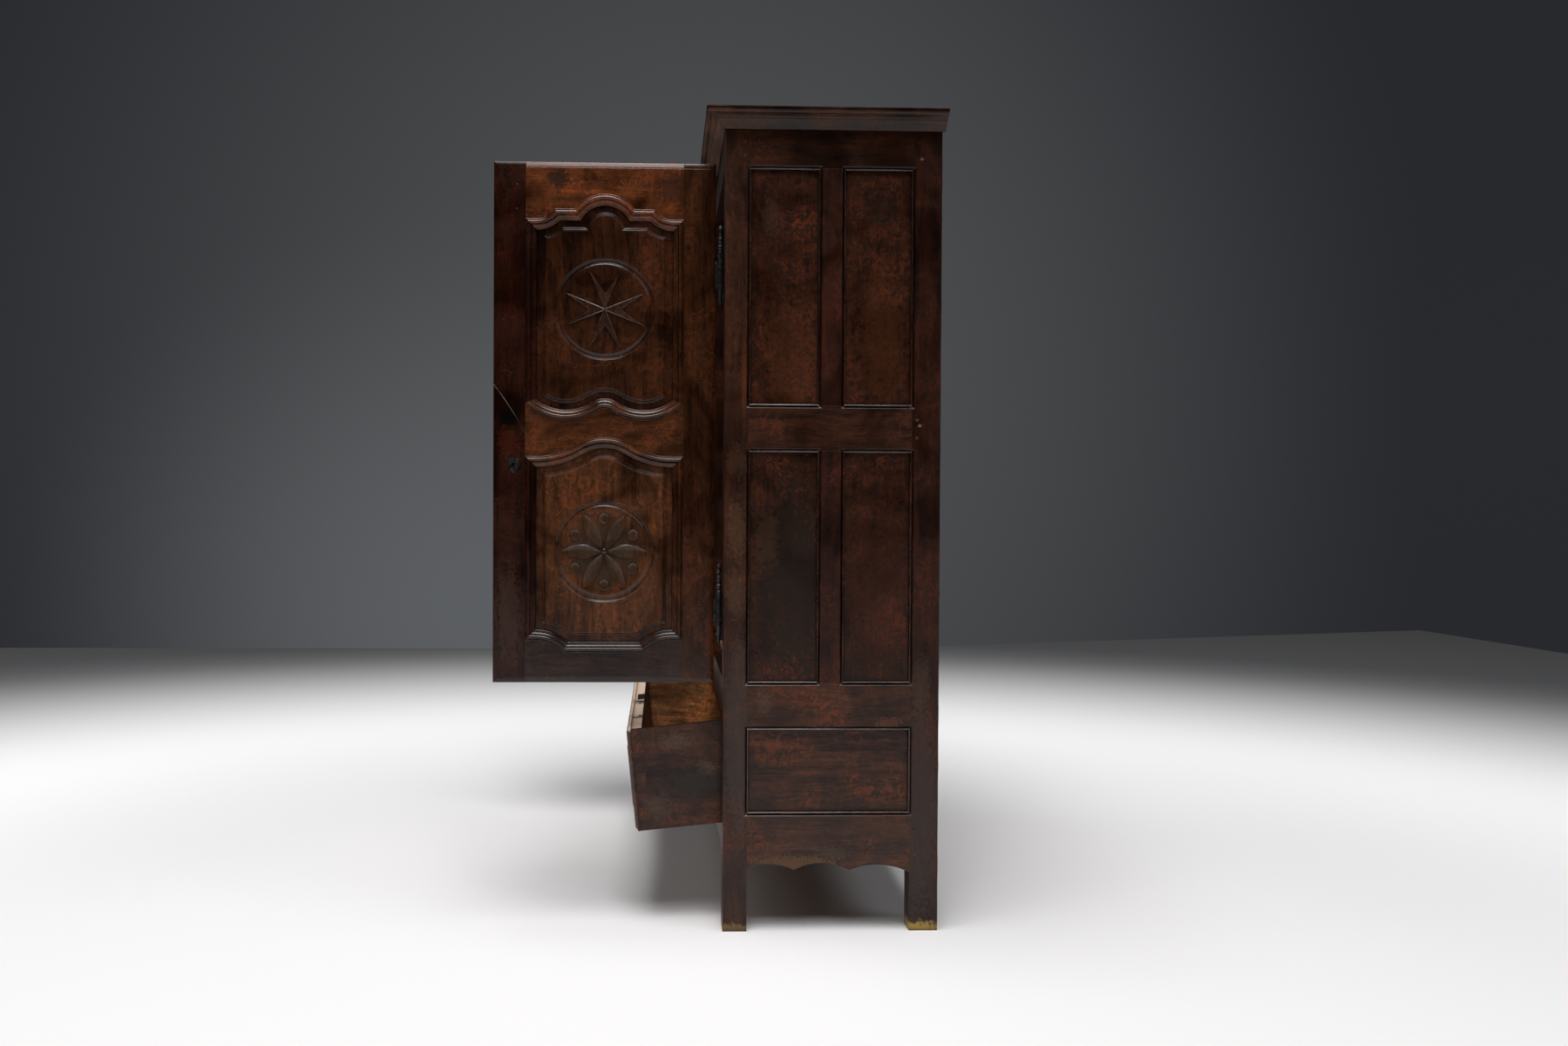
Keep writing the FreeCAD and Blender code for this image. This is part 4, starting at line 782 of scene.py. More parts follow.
@dataclass
class Room:
    """The floor, the walls and the light."""

    corner_near: Point = (-5.63, 1.35, 0)
    corner_far: Point = (-7.15, 6.75, 0)
    reach: float = 16.0
    height: float = 9.0

    def plane(self, name: str, points: list[Point], finish: bpy.types.ID) -> None:
        """Lays one sheet of the room.

        Args:
            name: The sheet's name.
            points: Its four corners.
            finish: Its material.
        """
        sheet = Bench.make(name, points, [tuple(range(len(points)))])
        sheet.data.materials.append(finish)

    @staticmethod
    def glow(web: Web, across: Socket, up: Socket, middle: Spot, reach: Spot) -> Socket:
        """Makes a soft round glow on a wall.

        Args:
            web: The wall's nodes.
            across: The place along the wall.
            up: The height.
            middle: The glow's middle.
            reach: How far it spreads along the wall and up.

        Returns:
            The glow's share.
        """
        squares = []
        for place, centre, size in zip((across, up), middle, reach):
            off = web.math("DIVIDE", web.math("SUBTRACT", place, centre), size)
            squares.append(web.math("MULTIPLY", off, off))
        return web.span(web.math("SQRT", web.math("ADD", *squares)), 1.0, 0.0)

    def wall_paint(self) -> bpy.types.ID:
        """Makes the walls, which the camera sees as a painted glow, darker to the sides and at the top.

        Returns:
            The material.
        """
        web = Web(bpy.data.materials.new("wall_paint"))
        parts = web.add("SeparateXYZ", {"Vector": web.add("TexCoord").outputs["Object"]})
        across, up = parts.outputs["Y"], parts.outputs["Z"]
        wide = self.glow(web, across, up, (0.2, 2.0), (7.0, 7.5))
        low = self.glow(web, across, up, (-1.7, 0.2), (3.6, 3.4))
        glow = web.blend(wide, (0.0215, 0.0222, 0.026), (0.076, 0.078, 0.082))
        glow = web.blend(web.math("MULTIPLY", low, 0.5), glow, (0.15, 0.16, 0.17))
        lit = web.add("Emission", {"Color": glow, "Strength": 1.0}).outputs[0]
        matt = web.add("BsdfDiffuse", {"Color": (0.06, 0.063, 0.068)}).outputs[0]
        ray = web.add("LightPath").outputs["Is Camera Ray"]
        return web.close(web.add("MixShader", {0: ray, 1: matt, 2: lit}).outputs[0])

    def floor_paint(self) -> bpy.types.ID:
        """Makes the pale floor, which is darker towards the walls, with a ring of painted light that only the camera
        sees.

        Returns:
            The material.
        """
        web = Web(bpy.data.materials.new("floor_paint"))
        here = web.add("TexCoord").outputs["Object"]
        far = web.vector("LENGTH", web.vector("SUBTRACT", here, (1.2, 0.0, 0.0)))
        tint = web.blend(web.span(far, 3.3, 6.8), (0.87, 0.87, 0.88), (0.10, 0.103, 0.108))
        matt = web.add("BsdfDiffuse", {"Color": tint}).outputs[0]
        # Painted light: a ring of extra brightness round the press that only the camera sees.
        rise = web.math("MULTIPLY", web.span(far, 1.9, 4.2, 0.0, 0.27), web.span(far, 3.9, 7.6, 1.0, 0.1))
        rise = web.math("MULTIPLY", rise, web.add("LightPath").outputs["Is Camera Ray"])
        sheen = web.add("Emission", {"Color": (1.0, 1.0, 1.01), "Strength": rise}).outputs[0]
        return web.close(web.add("AddShader", {0: matt, 1: sheen}).outputs[0])

    def lamp(self, name: str, place: Point, aim: Point, size: Spot, power: float, tint: Colour) -> None:
        """Hangs one soft lamp.

        Args:
            name: The lamp's name.
            place: Where it hangs.
            aim: The point that it faces.
            size: Its width and height.
            power: Its power in watts.
            tint: Its colour.
        """
        light = bpy.data.lights.new(name, "AREA")
        light.shape = "RECTANGLE"
        light.size, light.size_y = size
        light.energy = power
        light.color = tint
        lamp = bpy.data.objects.new(name, light)
        bpy.context.scene.collection.objects.link(lamp)
        lamp.location = place
        lamp.rotation_mode = "QUATERNION"
        lamp.rotation_quaternion = (Vector(aim) - Vector(place)).to_track_quat("-Z", "Y")

    def build(self) -> None:
        """Makes the whole room."""
        wall = self.wall_paint()
        near, far, reach = self.corner_near, self.corner_far, self.reach
        ends = [(near[0], -reach, 0.0), near, far, (reach, far[1] + 0.2, 0.0)]
        for number, (start, end) in enumerate(zip(ends, ends[1:])):
            tops = [(*corner[:2], self.height) for corner in (end, start)]
            self.plane(f"wall_{number}", [start, end, *tops], wall)
        corners = [(-reach, -reach, 0), (reach, -reach, 0), (reach, reach, 0), (-reach, reach, 0)]
        self.plane("floor", corners, self.floor_paint())
        self.lamp("key", (1.7, -0.5, 8.2), (0.55, 0.0, 0.4), (4.0, 3.8), 560, (1.0, 0.985, 0.97))
        self.lamp("scrim", (4.7, -0.2, 7.7), (0.5, -0.1, 1.4), (3.4, 2.2), 135, (1.0, 0.97, 0.98))
        self.lamp("side", (2.4, 4.4, 5.2), (0.2, 0.6, 0.4), (3.0, 2.4), 50, (0.98, 0.99, 1.0))
        self.lamp("front", (-0.6, -5.6, 4.4), (0.0, 0.0, 0.9), (4.0, 3.0), 70, (1.0, 0.985, 0.97))
        web = Web(bpy.data.worlds.new("room_air"))
        tones = [(level, level * 1.02, level * 1.08) for level in (0.014, 0.05)]
        haze, air = (web.add("Background", {"Color": tone}).outputs[0] for tone in tones)
        ray = web.add("LightPath").outputs["Is Diffuse Ray"]
        pick = web.add("MixShader", {0: ray, 1: haze, 2: air}).outputs[0]
        bpy.context.scene.world = web.close(pick, "OutputWorld")
        log.info("room is ready")


@dataclass
class Viewpoint:
    """The camera that took the picture."""

    place: Point = (3.73156, -0.1387, 1.0776)
    yaw: float = 0.03059
    pitch: float = -0.012
    roll: float = 0.00471
    focal: float = 1400.0
    middle: float = 803.1

    def build(self) -> None:
        """Sets the camera up."""
        level = math.cos(self.pitch)
        forward = Vector((-math.cos(self.yaw) * level, math.sin(self.yaw) * level, math.sin(self.pitch)))
        right = forward.cross(Vector((0, 0, 1))).normalized()
        up = right.cross(forward)
        across = right * math.cos(self.roll) + up * math.sin(self.roll)
        over = up * math.cos(self.roll) - right * math.sin(self.roll)
        turn = Matrix((across, over, -forward)).transposed()
        lens = bpy.data.cameras.new("viewpoint")
        lens.sensor_width = SENSOR
        lens.lens = self.focal / PHOTO_WIDTH * SENSOR
        lens.shift_x = (PHOTO_WIDTH / 2 - self.middle) / PHOTO_WIDTH
        lens.clip_start = 0.05
        lens.clip_end = 60
        camera = bpy.data.objects.new("viewpoint", lens)
        bpy.context.scene.collection.objects.link(camera)
        camera.location = self.place
        camera.rotation_mode = "QUATERNION"
        camera.rotation_quaternion = turn.to_quaternion()
        bpy.context.scene.camera = camera
        log.info("camera is ready")


@dataclass
class Contours:
    """The lines of a door's shaped openings, in millimetres from the middle of its foot."""

    half: float = 176.0
    sliver: float = 1.0
    apex: float = 1229.0
    shelf: float = 1190.0
    corner: float = 1165.0
    scoop_radius: float = 84.0
    crown_radius: float = 70.0
    low: float = 703.01
    lobe_offset: float = 100.0
    lobe_radius: float = 120.0
    lobe_crown: float = 63.0
    lower_apex: float = 605.01
    lower_corner: float = 556.01
    ogee_crown: float = 105.0
    foot: float = 104.0
    foot_corner: float = 136.0
    foot_scoop: float = 125.0
    count: int = 15
    side_count: int = 12
    sill_count: int = 6

    def arc(
        self, middle: Spot, radius: float, first: float, last: float, flip: Spot = (1, 1), runs: int = 1
    ) -> list[Spot]:
        """Samples an arc, with its angles measured from straight up.

        Args:
            middle: The arc's middle.
            radius: Its radius.
            first: The angle at which it starts.
            last: The angle at which it ends.
            flip: -1 on an axis where the arc is mirrored.
            runs: How many times as many points it has.

        Returns:
            The points along it.
        """
        count = self.count * runs
        bearings = [first + (last - first) * step / count for step in range(count + 1)]
        return [
            (middle[0] + flip[0] * radius * math.sin(bearing), middle[1] + flip[1] * radius * math.cos(bearing))
            for bearing in bearings
        ]

    def crown(self, points: list[Spot], level: float, radius: float) -> list[Spot]:
        """Ends a run in the arc over the middle of the opening.

        Args:
            points: The run so far.
            level: The height of the arc's middle.
            radius: The arc's radius.

        Returns:
            The run with its arc.
        """
        tail = points[-1]
        return points + self.arc((0, level), radius, math.atan2(tail[0], tail[1] - level), 0.0)

    def shoulder(self, spread: float, corner: float, radius: float, last: float, sign: int = 1) -> list[Spot]:
        """Runs from a corner along its hollow shoulder.

        Args:
            spread: How far outside the sight line the run lies.
            corner: The height of the corner.
            radius: The shoulder's radius.
            last: The angle at which it ends.
            sign: 1 at a head and -1 at a foot.

        Returns:
            The points from the corner.
        """
        centre = self.half - self.sliver
        edge = self.half + spread
        size = radius - spread
        level = corner + sign * radius
        first = 0.0 if spread >= 0 else math.asin((centre - edge) / size)
        points = self.arc((centre, level), size, first, last, (-1, -sign))
        start = (edge, corner + sign * spread) if spread >= 0 else points[0]
        return [start] + points

    def scoop(self, spread: float, corner: float, shelf: float, radius: float, sign: int) -> list[Spot]:
        """Runs from a corner along a shoulder that ends on a shelf.

        Args:
            spread: How far outside the sight line the run lies.
            corner: The height of the corner.
            shelf: The height at which the shoulder ends.
            radius: The shoulder's radius.
            sign: 1 at a head and -1 at a foot.

        Returns:
            The points from the corner.
        """
        fall = corner + sign * radius - (shelf + sign * spread)
        return self.shoulder(spread, corner, radius, math.acos(fall * sign / (radius - spread)), sign)

    def arch(self, spread: float) -> list[Spot]:
        """Runs along half the head of the upper opening, this far outside the sight line."""
        points = self.scoop(spread, self.corner, self.shelf, self.scoop_radius, 1)
        radius = self.crown_radius + spread
        middle = self.apex - self.crown_radius
        rise = self.shelf + spread - middle
        return points + self.arc((0, middle), radius, math.atan2(math.sqrt(radius**2 - rise**2), rise), 0.0)

    def wave(self, spread: float) -> list[Spot]:
        """Runs along half the foot of the upper opening, this far outside the sight line."""
        lobe = self.lobe_radius + spread
        level = self.low + self.lobe_radius
        fall = math.sqrt((self.lobe_radius + self.lobe_crown) ** 2 - self.lobe_offset**2)
        first = math.asin((self.half + spread - self.lobe_offset) / lobe)
        last = -math.atan2(self.lobe_offset, fall)
        points = self.arc((self.lobe_offset, level), lobe, first, last, (1, -1), 2)
        return self.crown(points, level - fall, self.lobe_crown - spread)

    def ogee(self, spread: float) -> list[Spot]:
        """Runs along half the head of the lower opening, this far outside the sight line."""
        offset = self.half - self.sliver
        rise = self.lower_apex - self.lower_corner
        between = (offset**2 + rise**2) / (2 * rise)
        points = self.shoulder(spread, self.lower_corner, between - self.ogee_crown, math.asin(offset / between))
        return self.crown(points, self.lower_apex - self.ogee_crown, self.ogee_crown + spread)

    def sill(self, spread: float) -> list[Spot]:
        """Runs along half the foot of the lower opening, this far outside the sight line."""
        points = self.scoop(spread, self.foot_corner, self.foot, self.foot_scoop, -1)
        across, level = points[-1]
        count = self.sill_count
        return points + [(across * (1 - step / count), level) for step in range(1, count + 1)]

    def half_end(self, end: End, spread: float) -> list[Spot]:
        """Runs from the right-hand corner of an end to its middle.

        Args:
            end: Which end.
            spread: How far outside the sight line the run lies.

        Returns:
            The points of the run.
        """
        runs = {End.ARCH: self.arch, End.WAVE: self.wave, End.OGEE: self.ogee, End.SCOOP: self.sill}
        return runs[end](spread)

    def run(self, end: End, spread: float) -> list[Spot]:
        """Runs along a whole end, from its right-hand corner to its left-hand one.

        Args:
            end: Which end.
            spread: How far outside the sight line the run lies.

        Returns:
            The points of the run.
        """
        right = self.half_end(end, spread)
        return right + [(-across, up) for across, up in reversed(right[:-1])]

    def side(self, head: End, foot: End, sign: int, spread: float) -> list[Spot]:
        """Runs down one upright side.

        Args:
            head: The end above it.
            foot: The end below it.
            sign: 1 for the right-hand side and -1 for the left-hand one.
            spread: How far outside the sight line the run lies.

        Returns:
            The points of the run.
        """
        top = self.half_end(head, spread)[0]
        low = self.half_end(foot, spread)[0]
        shares = [step / self.side_count for step in range(self.side_count + 1)]
        return [
            (sign * (top[0] + (low[0] - top[0]) * share), top[1] + (low[1] - top[1]) * share) for share in shares
        ]

    def loop(self, head: End, foot: End, spread: float) -> list[Spot]:
        """Runs round a whole opening.

        Args:
            head: The opening's head.
            foot: The opening's foot.
            spread: How far outside the sight line the loop lies.

        Returns:
            The points of the closed loop.
        """
        down = self.side(head, foot, 1, spread)[1:-1]
        back = self.side(head, foot, -1, spread)[1:-1]
        return self.run(head, spread)[::-1] + down + self.run(foot, spread) + back[::-1]


@dataclass(frozen=True)
class Opening:
    """One opening of a door, the rails over and under it, its medallion's height and that figure's gloss."""

    name: str
    head: End
    foot: End
    rails: tuple[str, str]
    hub: float
    gloss: float


OPENINGS = (
    Opening("upper", End.ARCH, End.WAVE, ("top_rail", "middle_rail"), 961.8, 1.8),
    Opening("lower", End.OGEE, End.SCOOP, ("middle_rail", "bottom_rail"), 338.0, 1.5),
)

# The profiles give, step by step, the distance outwards from the sight line or the middle and the
# height over the frame's face, both in millimetres, and the first three also the material.
MOULDING: tuple[Step, ...] = (
    (27.2, -1.4, 0), (27.2, 1.0, 0), (26.7, 1.9, 1), (25.7, 2.4, 1), (24.6, 2.2, 0), (24.0, 1.3, 0),
    (23.4, 1.3, 0), (22.9, 2.6, 0), (21.6, 4.2, 0), (19.8, 5.2, 1), (17.8, 5.4, 1), (15.9, 4.7, 0),
    (14.4, 3.3, 0), (13.6, 1.6, 0), (13.4, 0.3, 0), (12.9, 0.3, 0), (12.6, 1.5, 0), (12.0, 1.9, 1),
    (10.4, 1.8, 1), (9.9, 1.3, 0), (9.7, 0.0, 0), (8.9, -1.2, 0), (7.4, -2.5, 0), (5.4, -3.5, 0),
    (3.9, -3.9, 0), (3.6, -5.0, 0), (3.0, -5.4, 1), (1.6, -5.6, 1), (0.5, -6.2, 0), (-0.2, -7.4, 0),
    (-0.3, -12.4, 0),
)
# In the field and the moat, material 2 darkens the sunk faces for old dirt and as painted shade.
FIELD: tuple[Step, ...] = (
    (3.0, -12.0, 2), (-16.2, -12.0, 2), (-16.8, -10.8, 0), (-17.5, -10.2, 1), (-18.6, -10.1, 1),
    (-19.4, -10.6, 2), (-20.6, -10.2, 0), (-21.9, -9.2, 0), (-22.9, -7.8, 0), (-23.2, -6.9, 1),
    (-23.9, -6.0, 1), (-24.9, -5.4, 1), (-26.0, -5.15, 0), (-27.2, -5.25, 0), (-28.3, -5.7, 2),
    (-29.4, -6.0, 0),
)
MOAT: tuple[Step, ...] = (
    (134.5, -6.0, 0), (132.6, -5.6, 1), (130.8, -5.5, 1), (129.8, -6.2, 2), (127.2, -9.6, 2),
    (125.4, -11.0, 2), (122.6, -11.2, 2), (120.2, -10.6, 2), (118.4, -9.0, 1), (116.2, -7.6, 0),
    (113.0, -6.9, 0), (108.0, -7.0, 0), (103.0, -7.7, 0), (97.0, -8.0, 0),
)
BOSS: tuple[Spot, ...] = (
    (0, -6.1), (8.0, -6.1), (10.0, -5.9), (11.6, -5.1), (12.8, -4.8), (13.9, -5.2), (14.6, -6.2), (15.2, -8.4),
)
HEART: tuple[Spot, ...] = ((0, -6.0), (3.0, -6.2), (5.0, -6.8), (6.5, -7.6), (7.5, -8.6))

# One arm of the cross, as bearings in degrees and shares of its radius.
STAR: tuple[Spot, ...] = ((-22.5, 0.83), (0, 0.31), (22.5, 0.83), (45, 0.055))


@dataclass
class Carving:
    """The shaped mouldings, raised fields and medallions of one door."""

    shapes: Contours = field(default_factory=Contours)
    face: float = 583.5
    middle: float = -289.75
    level: float = 627.0
    radius: float = 131.0
    moat_count: int = 120
    boss_count: int = 40
    boss_reach: float = 0.657
    petal_rows: int = 22
    petal_columns: int = 8
    cut_spread: float = 27.1
    cut_heights: Spot = (-1.2, 12.0)
    cut_gap: float = 0.05
    plate_half: float = 184.5
    plate_over: float = 8.5
    plate_depths: Spot = (-21.0, -12.15)
    petal_start: float = 0.06
    petal_reach: float = 0.787
    petal_half: float = 0.118
    star_foot: Spot = (-8.8, 3.1)
    star_edge: Spot = (-6.3, 0.0)
    star_top: float = -3.6
    ridge_top: float = -5.2
    ridge_share: float = 0.80

    def spot(self, across: float, up: float, out: float) -> Point:
        """Places a point of the right-hand door.

        Args:
            across: Its distance from the middle of the door.
            up: Its height over the foot of the door.
            out: How far it stands out of the frame's face.

        Returns:
            The point in metres.
        """
        return ((self.face + out) / MM, (self.middle + across) / MM, (self.level + up) / MM)

    def lift(self, line: list[Spot], out: float) -> list[Point]:
        """Places a line of the door's face at one height over it."""
        return [self.spot(across, up, out) for across, up in line]

    def turned(self, hub: float, bearing: float, out: float, along: float, aside: float = 0.0) -> Point:
        """Places a point of a medallion by its bearing.

        Args:
            hub: The height of the medallion's middle.
            bearing: The bearing in radians, from across.
            out: How far the point stands out of the frame's face.
            along: Its distance along the bearing.
            aside: Its distance aside of it.

        Returns:
            The point in metres.
        """
        return self.spot(
            along * math.cos(bearing) - aside * math.sin(bearing),
            hub + along * math.sin(bearing) + aside * math.cos(bearing),
            out,
        )

    def rings(self, middle: Spot, profile: Iterable[tuple], count: int) -> list[list[Point]]:
        """Turns a profile about a middle.

        Args:
            middle: The middle.
            profile: The radius and the height of each ring.
            count: How many points a ring has.

        Returns:
            The rings.
        """
        bearings = [2 * math.pi * step / count for step in range(count)]
        across, up = middle
        return [
            self.lift([(across + size * math.sin(turn), up + size * math.cos(turn)) for turn in bearings], out)
            for size, out, *_ in profile
        ]

    def close(self, piece: Piece) -> Piece:
        """Merges a skin's double points, turns its faces out of the door and returns it."""
        Bench.edit(piece, Bench.MERGE, Bench.FACE_OUT)
        Bench.outwards(piece)
        return piece

    def moulding(self, name: str, run: Callable[[float], list[Spot]]) -> Piece:
        """Runs the moulding's profile along a contour.

        Args:
            name: The piece's name.
            run: A call that gives the contour's points at a spread.

        Returns:
            The moulding.
        """
        rows = [self.lift(run(spread), out) for spread, out, _ in MOULDING]
        return self.close(Bench.skin(name, rows, [mark for _, _, mark in MOULDING], closed=False))

    def field(self, name: str, opening: Opening) -> Piece:
        """Makes the flat, the raised field and the moat of one panel.

        Args:
            name: The piece's name.
            opening: The panel's opening.

        Returns:
            The relief, without its figure.
        """
        rows = [self.lift(self.shapes.loop(opening.head, opening.foot, spread), out) for spread, out, _ in FIELD]
        ring = Bench.skin(name, rows, [mark for _, _, mark in FIELD])
        count = self.moat_count
        rounds = self.rings((0, opening.hub), MOAT, count)
        moat = Bench.skin(name + "_moat", rounds, [mark for _, _, mark in MOAT])
        wide = len(rows[-1])
        edges = [(place, (place + 1) % wide) for place in range(wide)]
        edges += [(wide + place, wide + (place + 1) % count) for place in range(count)]
        flat = Bench.make(name + "_face", rows[-1] + rounds[0], [], edges=edges)
        Bench.edit(flat, Bench.MERGE, partial(bpy.ops.mesh.fill, use_beauty=True))
        base = Bench.make(name + "_ground", rounds[-1], [tuple(range(count))])
        Bench.hold(moat, flat, base, ring)
        bpy.ops.object.join()
        return self.close(ring)

    def star(self, hub: float, out: float, grow: float) -> list[Point]:
        """Outlines the eight-pointed cross.

        Args:
            hub: The height of the cross's middle.
            out: How far the outline stands out of the frame's face.
            grow: How far it is spread outwards.

        Returns:
            The outline's points.
        """
        points = []
        for arm in range(4):
            for angle, share in STAR:
                reach = self.radius * share + (grow if share > 0.5 else grow * 0.6)
                points.append(self.turned(hub, math.radians(90 * arm + angle), out, reach))
        return points

    def cross(self, name: str, hub: float) -> Piece:
        """Makes the eight-pointed cross, each blade with a ridge.

        Args:
            name: The piece's name.
            hub: The height of the cross's middle.

        Returns:
            The cross.
        """
        foot = self.star(hub, *self.star_foot)
        points = [self.spot(0, hub, self.star_top)] + foot + self.star(hub, *self.star_edge)
        count = len(foot)
        faces = weave(1, 2, count)
        for arm in range(4):
            for tip, waist, angle in ((0, -1, -22.5), (2, 3, 22.5)):
                top = len(points)
                reach = self.radius * self.ridge_share
                points.append(self.turned(hub, math.radians(90 * arm + angle), self.ridge_top, reach))
                side, point, notch = (1 + count + (arm * 4 + place) % count for place in (waist, tip, 1))
                faces += [(0, side, top), (side, point, top), (0, top, notch), (top, point, notch)]
        piece = self.close(Bench.make(name, points, faces))
        Bench.ease(piece, 0.001, 18)
        return piece

    def petal(self, hub: float, bearing: float) -> list[Point]:
        """Shapes one hollowed petal with its two steep sides.

        Args:
            hub: The height of the rosette's middle.
            bearing: The petal's bearing in radians.

        Returns:
            The petal's points, row by row.
        """
        points = []
        wide = self.petal_columns
        for row in range(self.petal_rows + 1):
            share = row / self.petal_rows
            along = self.radius * (self.petal_start + self.petal_reach * share)
            half = self.radius * self.petal_half * 4 * share * (1 - share) + 0.25
            for column in range(-2, wide + 3):
                place = max(-1.0, min(1.0, 2 * column / wide - 1))
                out = -4.9 - 1.15 * (1 - place**2) * min(1, half / 9)
                flare = 1.0
                if not 0 <= column <= wide:
                    out, extra = (-8.4, 3.0) if column in (-2, wide + 2) else (-5.35, 0.5)
                    flare += extra / max(half, 1.2)
                points.append(self.turned(hub, bearing, out, along, place * half * flare))
        return points

    def petals(self, name: str, hub: float) -> Piece:
        """Makes six hollowed petals, six rimmed bosses and the heart.

        Args:
            name: The piece's name.
            hub: The height of the rosette's middle.

        Returns:
            The rosette.
        """
        points: list[Point] = []
        faces: list[tuple[int, ...]] = []
        for number in range(6):
            faces += weave(len(points), self.petal_rows + 1, self.petal_columns + 5, closed=False)
            points += self.petal(hub, math.radians(60 * number))
        reach = self.radius * self.boss_reach
        bearings = [math.radians(60 * number + 30) for number in range(6)]
        middles = [(0.0, 0.0, HEART)]
        middles += [(reach * math.cos(bearing), reach * math.sin(bearing), BOSS) for bearing in bearings]
        for across, up, profile in middles:
            faces += weave(len(points), len(profile), self.boss_count)
            points += sum(self.rings((across, hub + up), profile, self.boss_count), [])
        return self.close(Bench.make(name, points, faces))

    def plate(self, name: str, low: float, high: float) -> Piece:
        """Makes the thin board behind a raised field.

        Args:
            name: The piece's name.
            low: The foot of the opening.
            high: The head of the opening.

        Returns:
            The board.
        """
        Bench.hold()
        near = self.spot(-self.plate_half, low - self.plate_over, self.plate_depths[0])
        far = self.spot(self.plate_half, high + self.plate_over, self.plate_depths[1])
        centre = [(start + end) / 2 for start, end in zip(near, far)]
        bpy.ops.mesh.primitive_cube_add(size=1, calc_uvs=False, location=centre)
        piece = bpy.context.active_object
        piece.name = name
        piece.scale = [end - start for start, end in zip(near, far)]
        bpy.ops.object.transform_apply(location=True, rotation=False, scale=True)
        Bench.edit(piece, partial(bpy.ops.mesh.subdivide, number_cuts=5))
        Bench.ease(piece, 0.001)
        return piece

    def cutter(self) -> Piece:
        """Makes the body that takes the plain CAD mouldings off a frame.

        Returns:
            The cutting body.
        """
        points: list[Point] = []
        faces: list[tuple[int, ...]] = []
        for opening in OPENINGS:
            loop = self.shapes.loop(opening.head, opening.foot, self.cut_spread)
            clean = [loop[0]]
            for spot in loop[1:]:
                if math.dist(spot, clean[-1]) > self.cut_gap:
                    clean.append(spot)
            if math.dist(clean[0], clean[-1]) < self.cut_gap:
                clean.pop()
            first, count = len(points), len(clean)
            for out in self.cut_heights:
                points += self.lift(clean, out)
            faces.append(tuple(range(first, first + count)))
            faces.append(tuple(reversed(range(first + count, first + 2 * count))))
            faces += weave(first, 2, count)
        piece = Bench.make("cutter", points, faces)
        Bench.edit(piece, Bench.FACE_OUT)
        return piece


BROWN = (0.046, 0.0145, 0.0052)
DARK = (0.042, 0.0138, 0.0045)
MAROON = (0.031, 0.0082, 0.0033)
RED = (0.040, 0.0115, 0.0048)
GREYED = (0.062, 0.0250, 0.0135)
SHEEN = (0.038, 0.0185, 0.0125)
RAW = (0.17, 0.095, 0.052)

POST_SMEARS = (
    Stain((0.64, 0.05, 1.02), (0.03, 0.03, 0.09), (0.13, 0.07, 0.035), 0.3, 1.0),
    Stain((0.64, 0.047, 0.86), (0.03, 0.028, 0.07), (0.12, 0.07, 0.04), 0.28, 1.0),
    Stain((0.64, 0.045, 1.2), (0.03, 0.03, 0.05), (0.11, 0.055, 0.028), 0.25, 1.0),
    Stain((0.64, 0.066, 1.4), (0.02, 0.008, 0.13), (0.17, 0.055, 0.016), 0.45, 1.5),
    Stain((0.64, 0.06, 0.5), (0.03, 0.05, 0.3), (0.066, 0.044, 0.037), 0.5, 0.6),
    Stain((0.6, 0.045, 0.0), (0.09, 0.09, 0.028), (0.19, 0.115, 0.045), 0.8, 0.5),
)
REAR_MARKS = (
    Stain((0.64, 0.52, 0.62), (0.03, 0.03, 0.1), (0.085, 0.055, 0.036), 0.3, 0.8),
    Stain((0.64, 0.52, 0.3), (0.03, 0.06, 0.34), (0.06, 0.04, 0.033), 0.45, 0.6),
    Stain((0.64, 0.515, 1.29), (0.02, 0.006, 0.005), (0.17, 0.12, 0.08), 0.9, 0.5),
    Stain((0.64, 0.516, 1.967), (0.02, 0.006, 0.005), (0.14, 0.10, 0.07), 0.9, 0.5),
    Stain((0.6, 0.52, 0.0), (0.09, 0.09, 0.034), (0.34, 0.215, 0.06), 0.9, 0.35),
)
PANEL_PATCHES = (
    Stain((0.63, 0.19, 0.9), (0.05, 0.1, 0.3), (0.018, 0.0105, 0.0058), 0.8, 0.6),
    Stain((0.63, 0.13, 1.0), (0.05, 0.035, 0.09), (0.06, 0.03, 0.016), 0.5, 0.8),
    Stain((0.63, 0.135, 1.82), (0.05, 0.03, 0.06), (0.07, 0.045, 0.032), 0.25, 0.9),
    Stain((0.63, 0.42, 1.84), (0.05, 0.05, 0.05), (0.022, 0.010, 0.006), 0.6, 0.8),
    Stain((0.63, 0.19, 1.45), (0.05, 0.08, 0.2), (0.085, 0.029, 0.0095), 0.4, 0.9),
    Stain((0.63, 0.42, 1.5), (0.05, 0.08, 0.22), (0.08, 0.027, 0.009), 0.4, 0.9),
    Stain((0.63, 0.42, 0.9), (0.05, 0.09, 0.25), (0.055, 0.016, 0.0065), 0.4, 0.8),
)
RAIL_SCUFFS = (
    Stain((0.64, 0.12, 0.58), (0.03, 0.025, 0.04), (0.11, 0.08, 0.055), 0.25, 1.0),
    Stain((0.64, 0.44, 0.53), (0.03, 0.04, 0.02), (0.12, 0.05, 0.03), 0.5, 0.9),
)
APRON_RIM = (
    Stain((0.64, 0.2, 0.175), (0.04, 0.12, 0.02), (0.135, 0.07, 0.03), 0.55, 0.9),
    Stain((0.64, 0.3, 0.2), (0.04, 0.05, 0.02), (0.12, 0.08, 0.05), 0.25, 0.9),
)


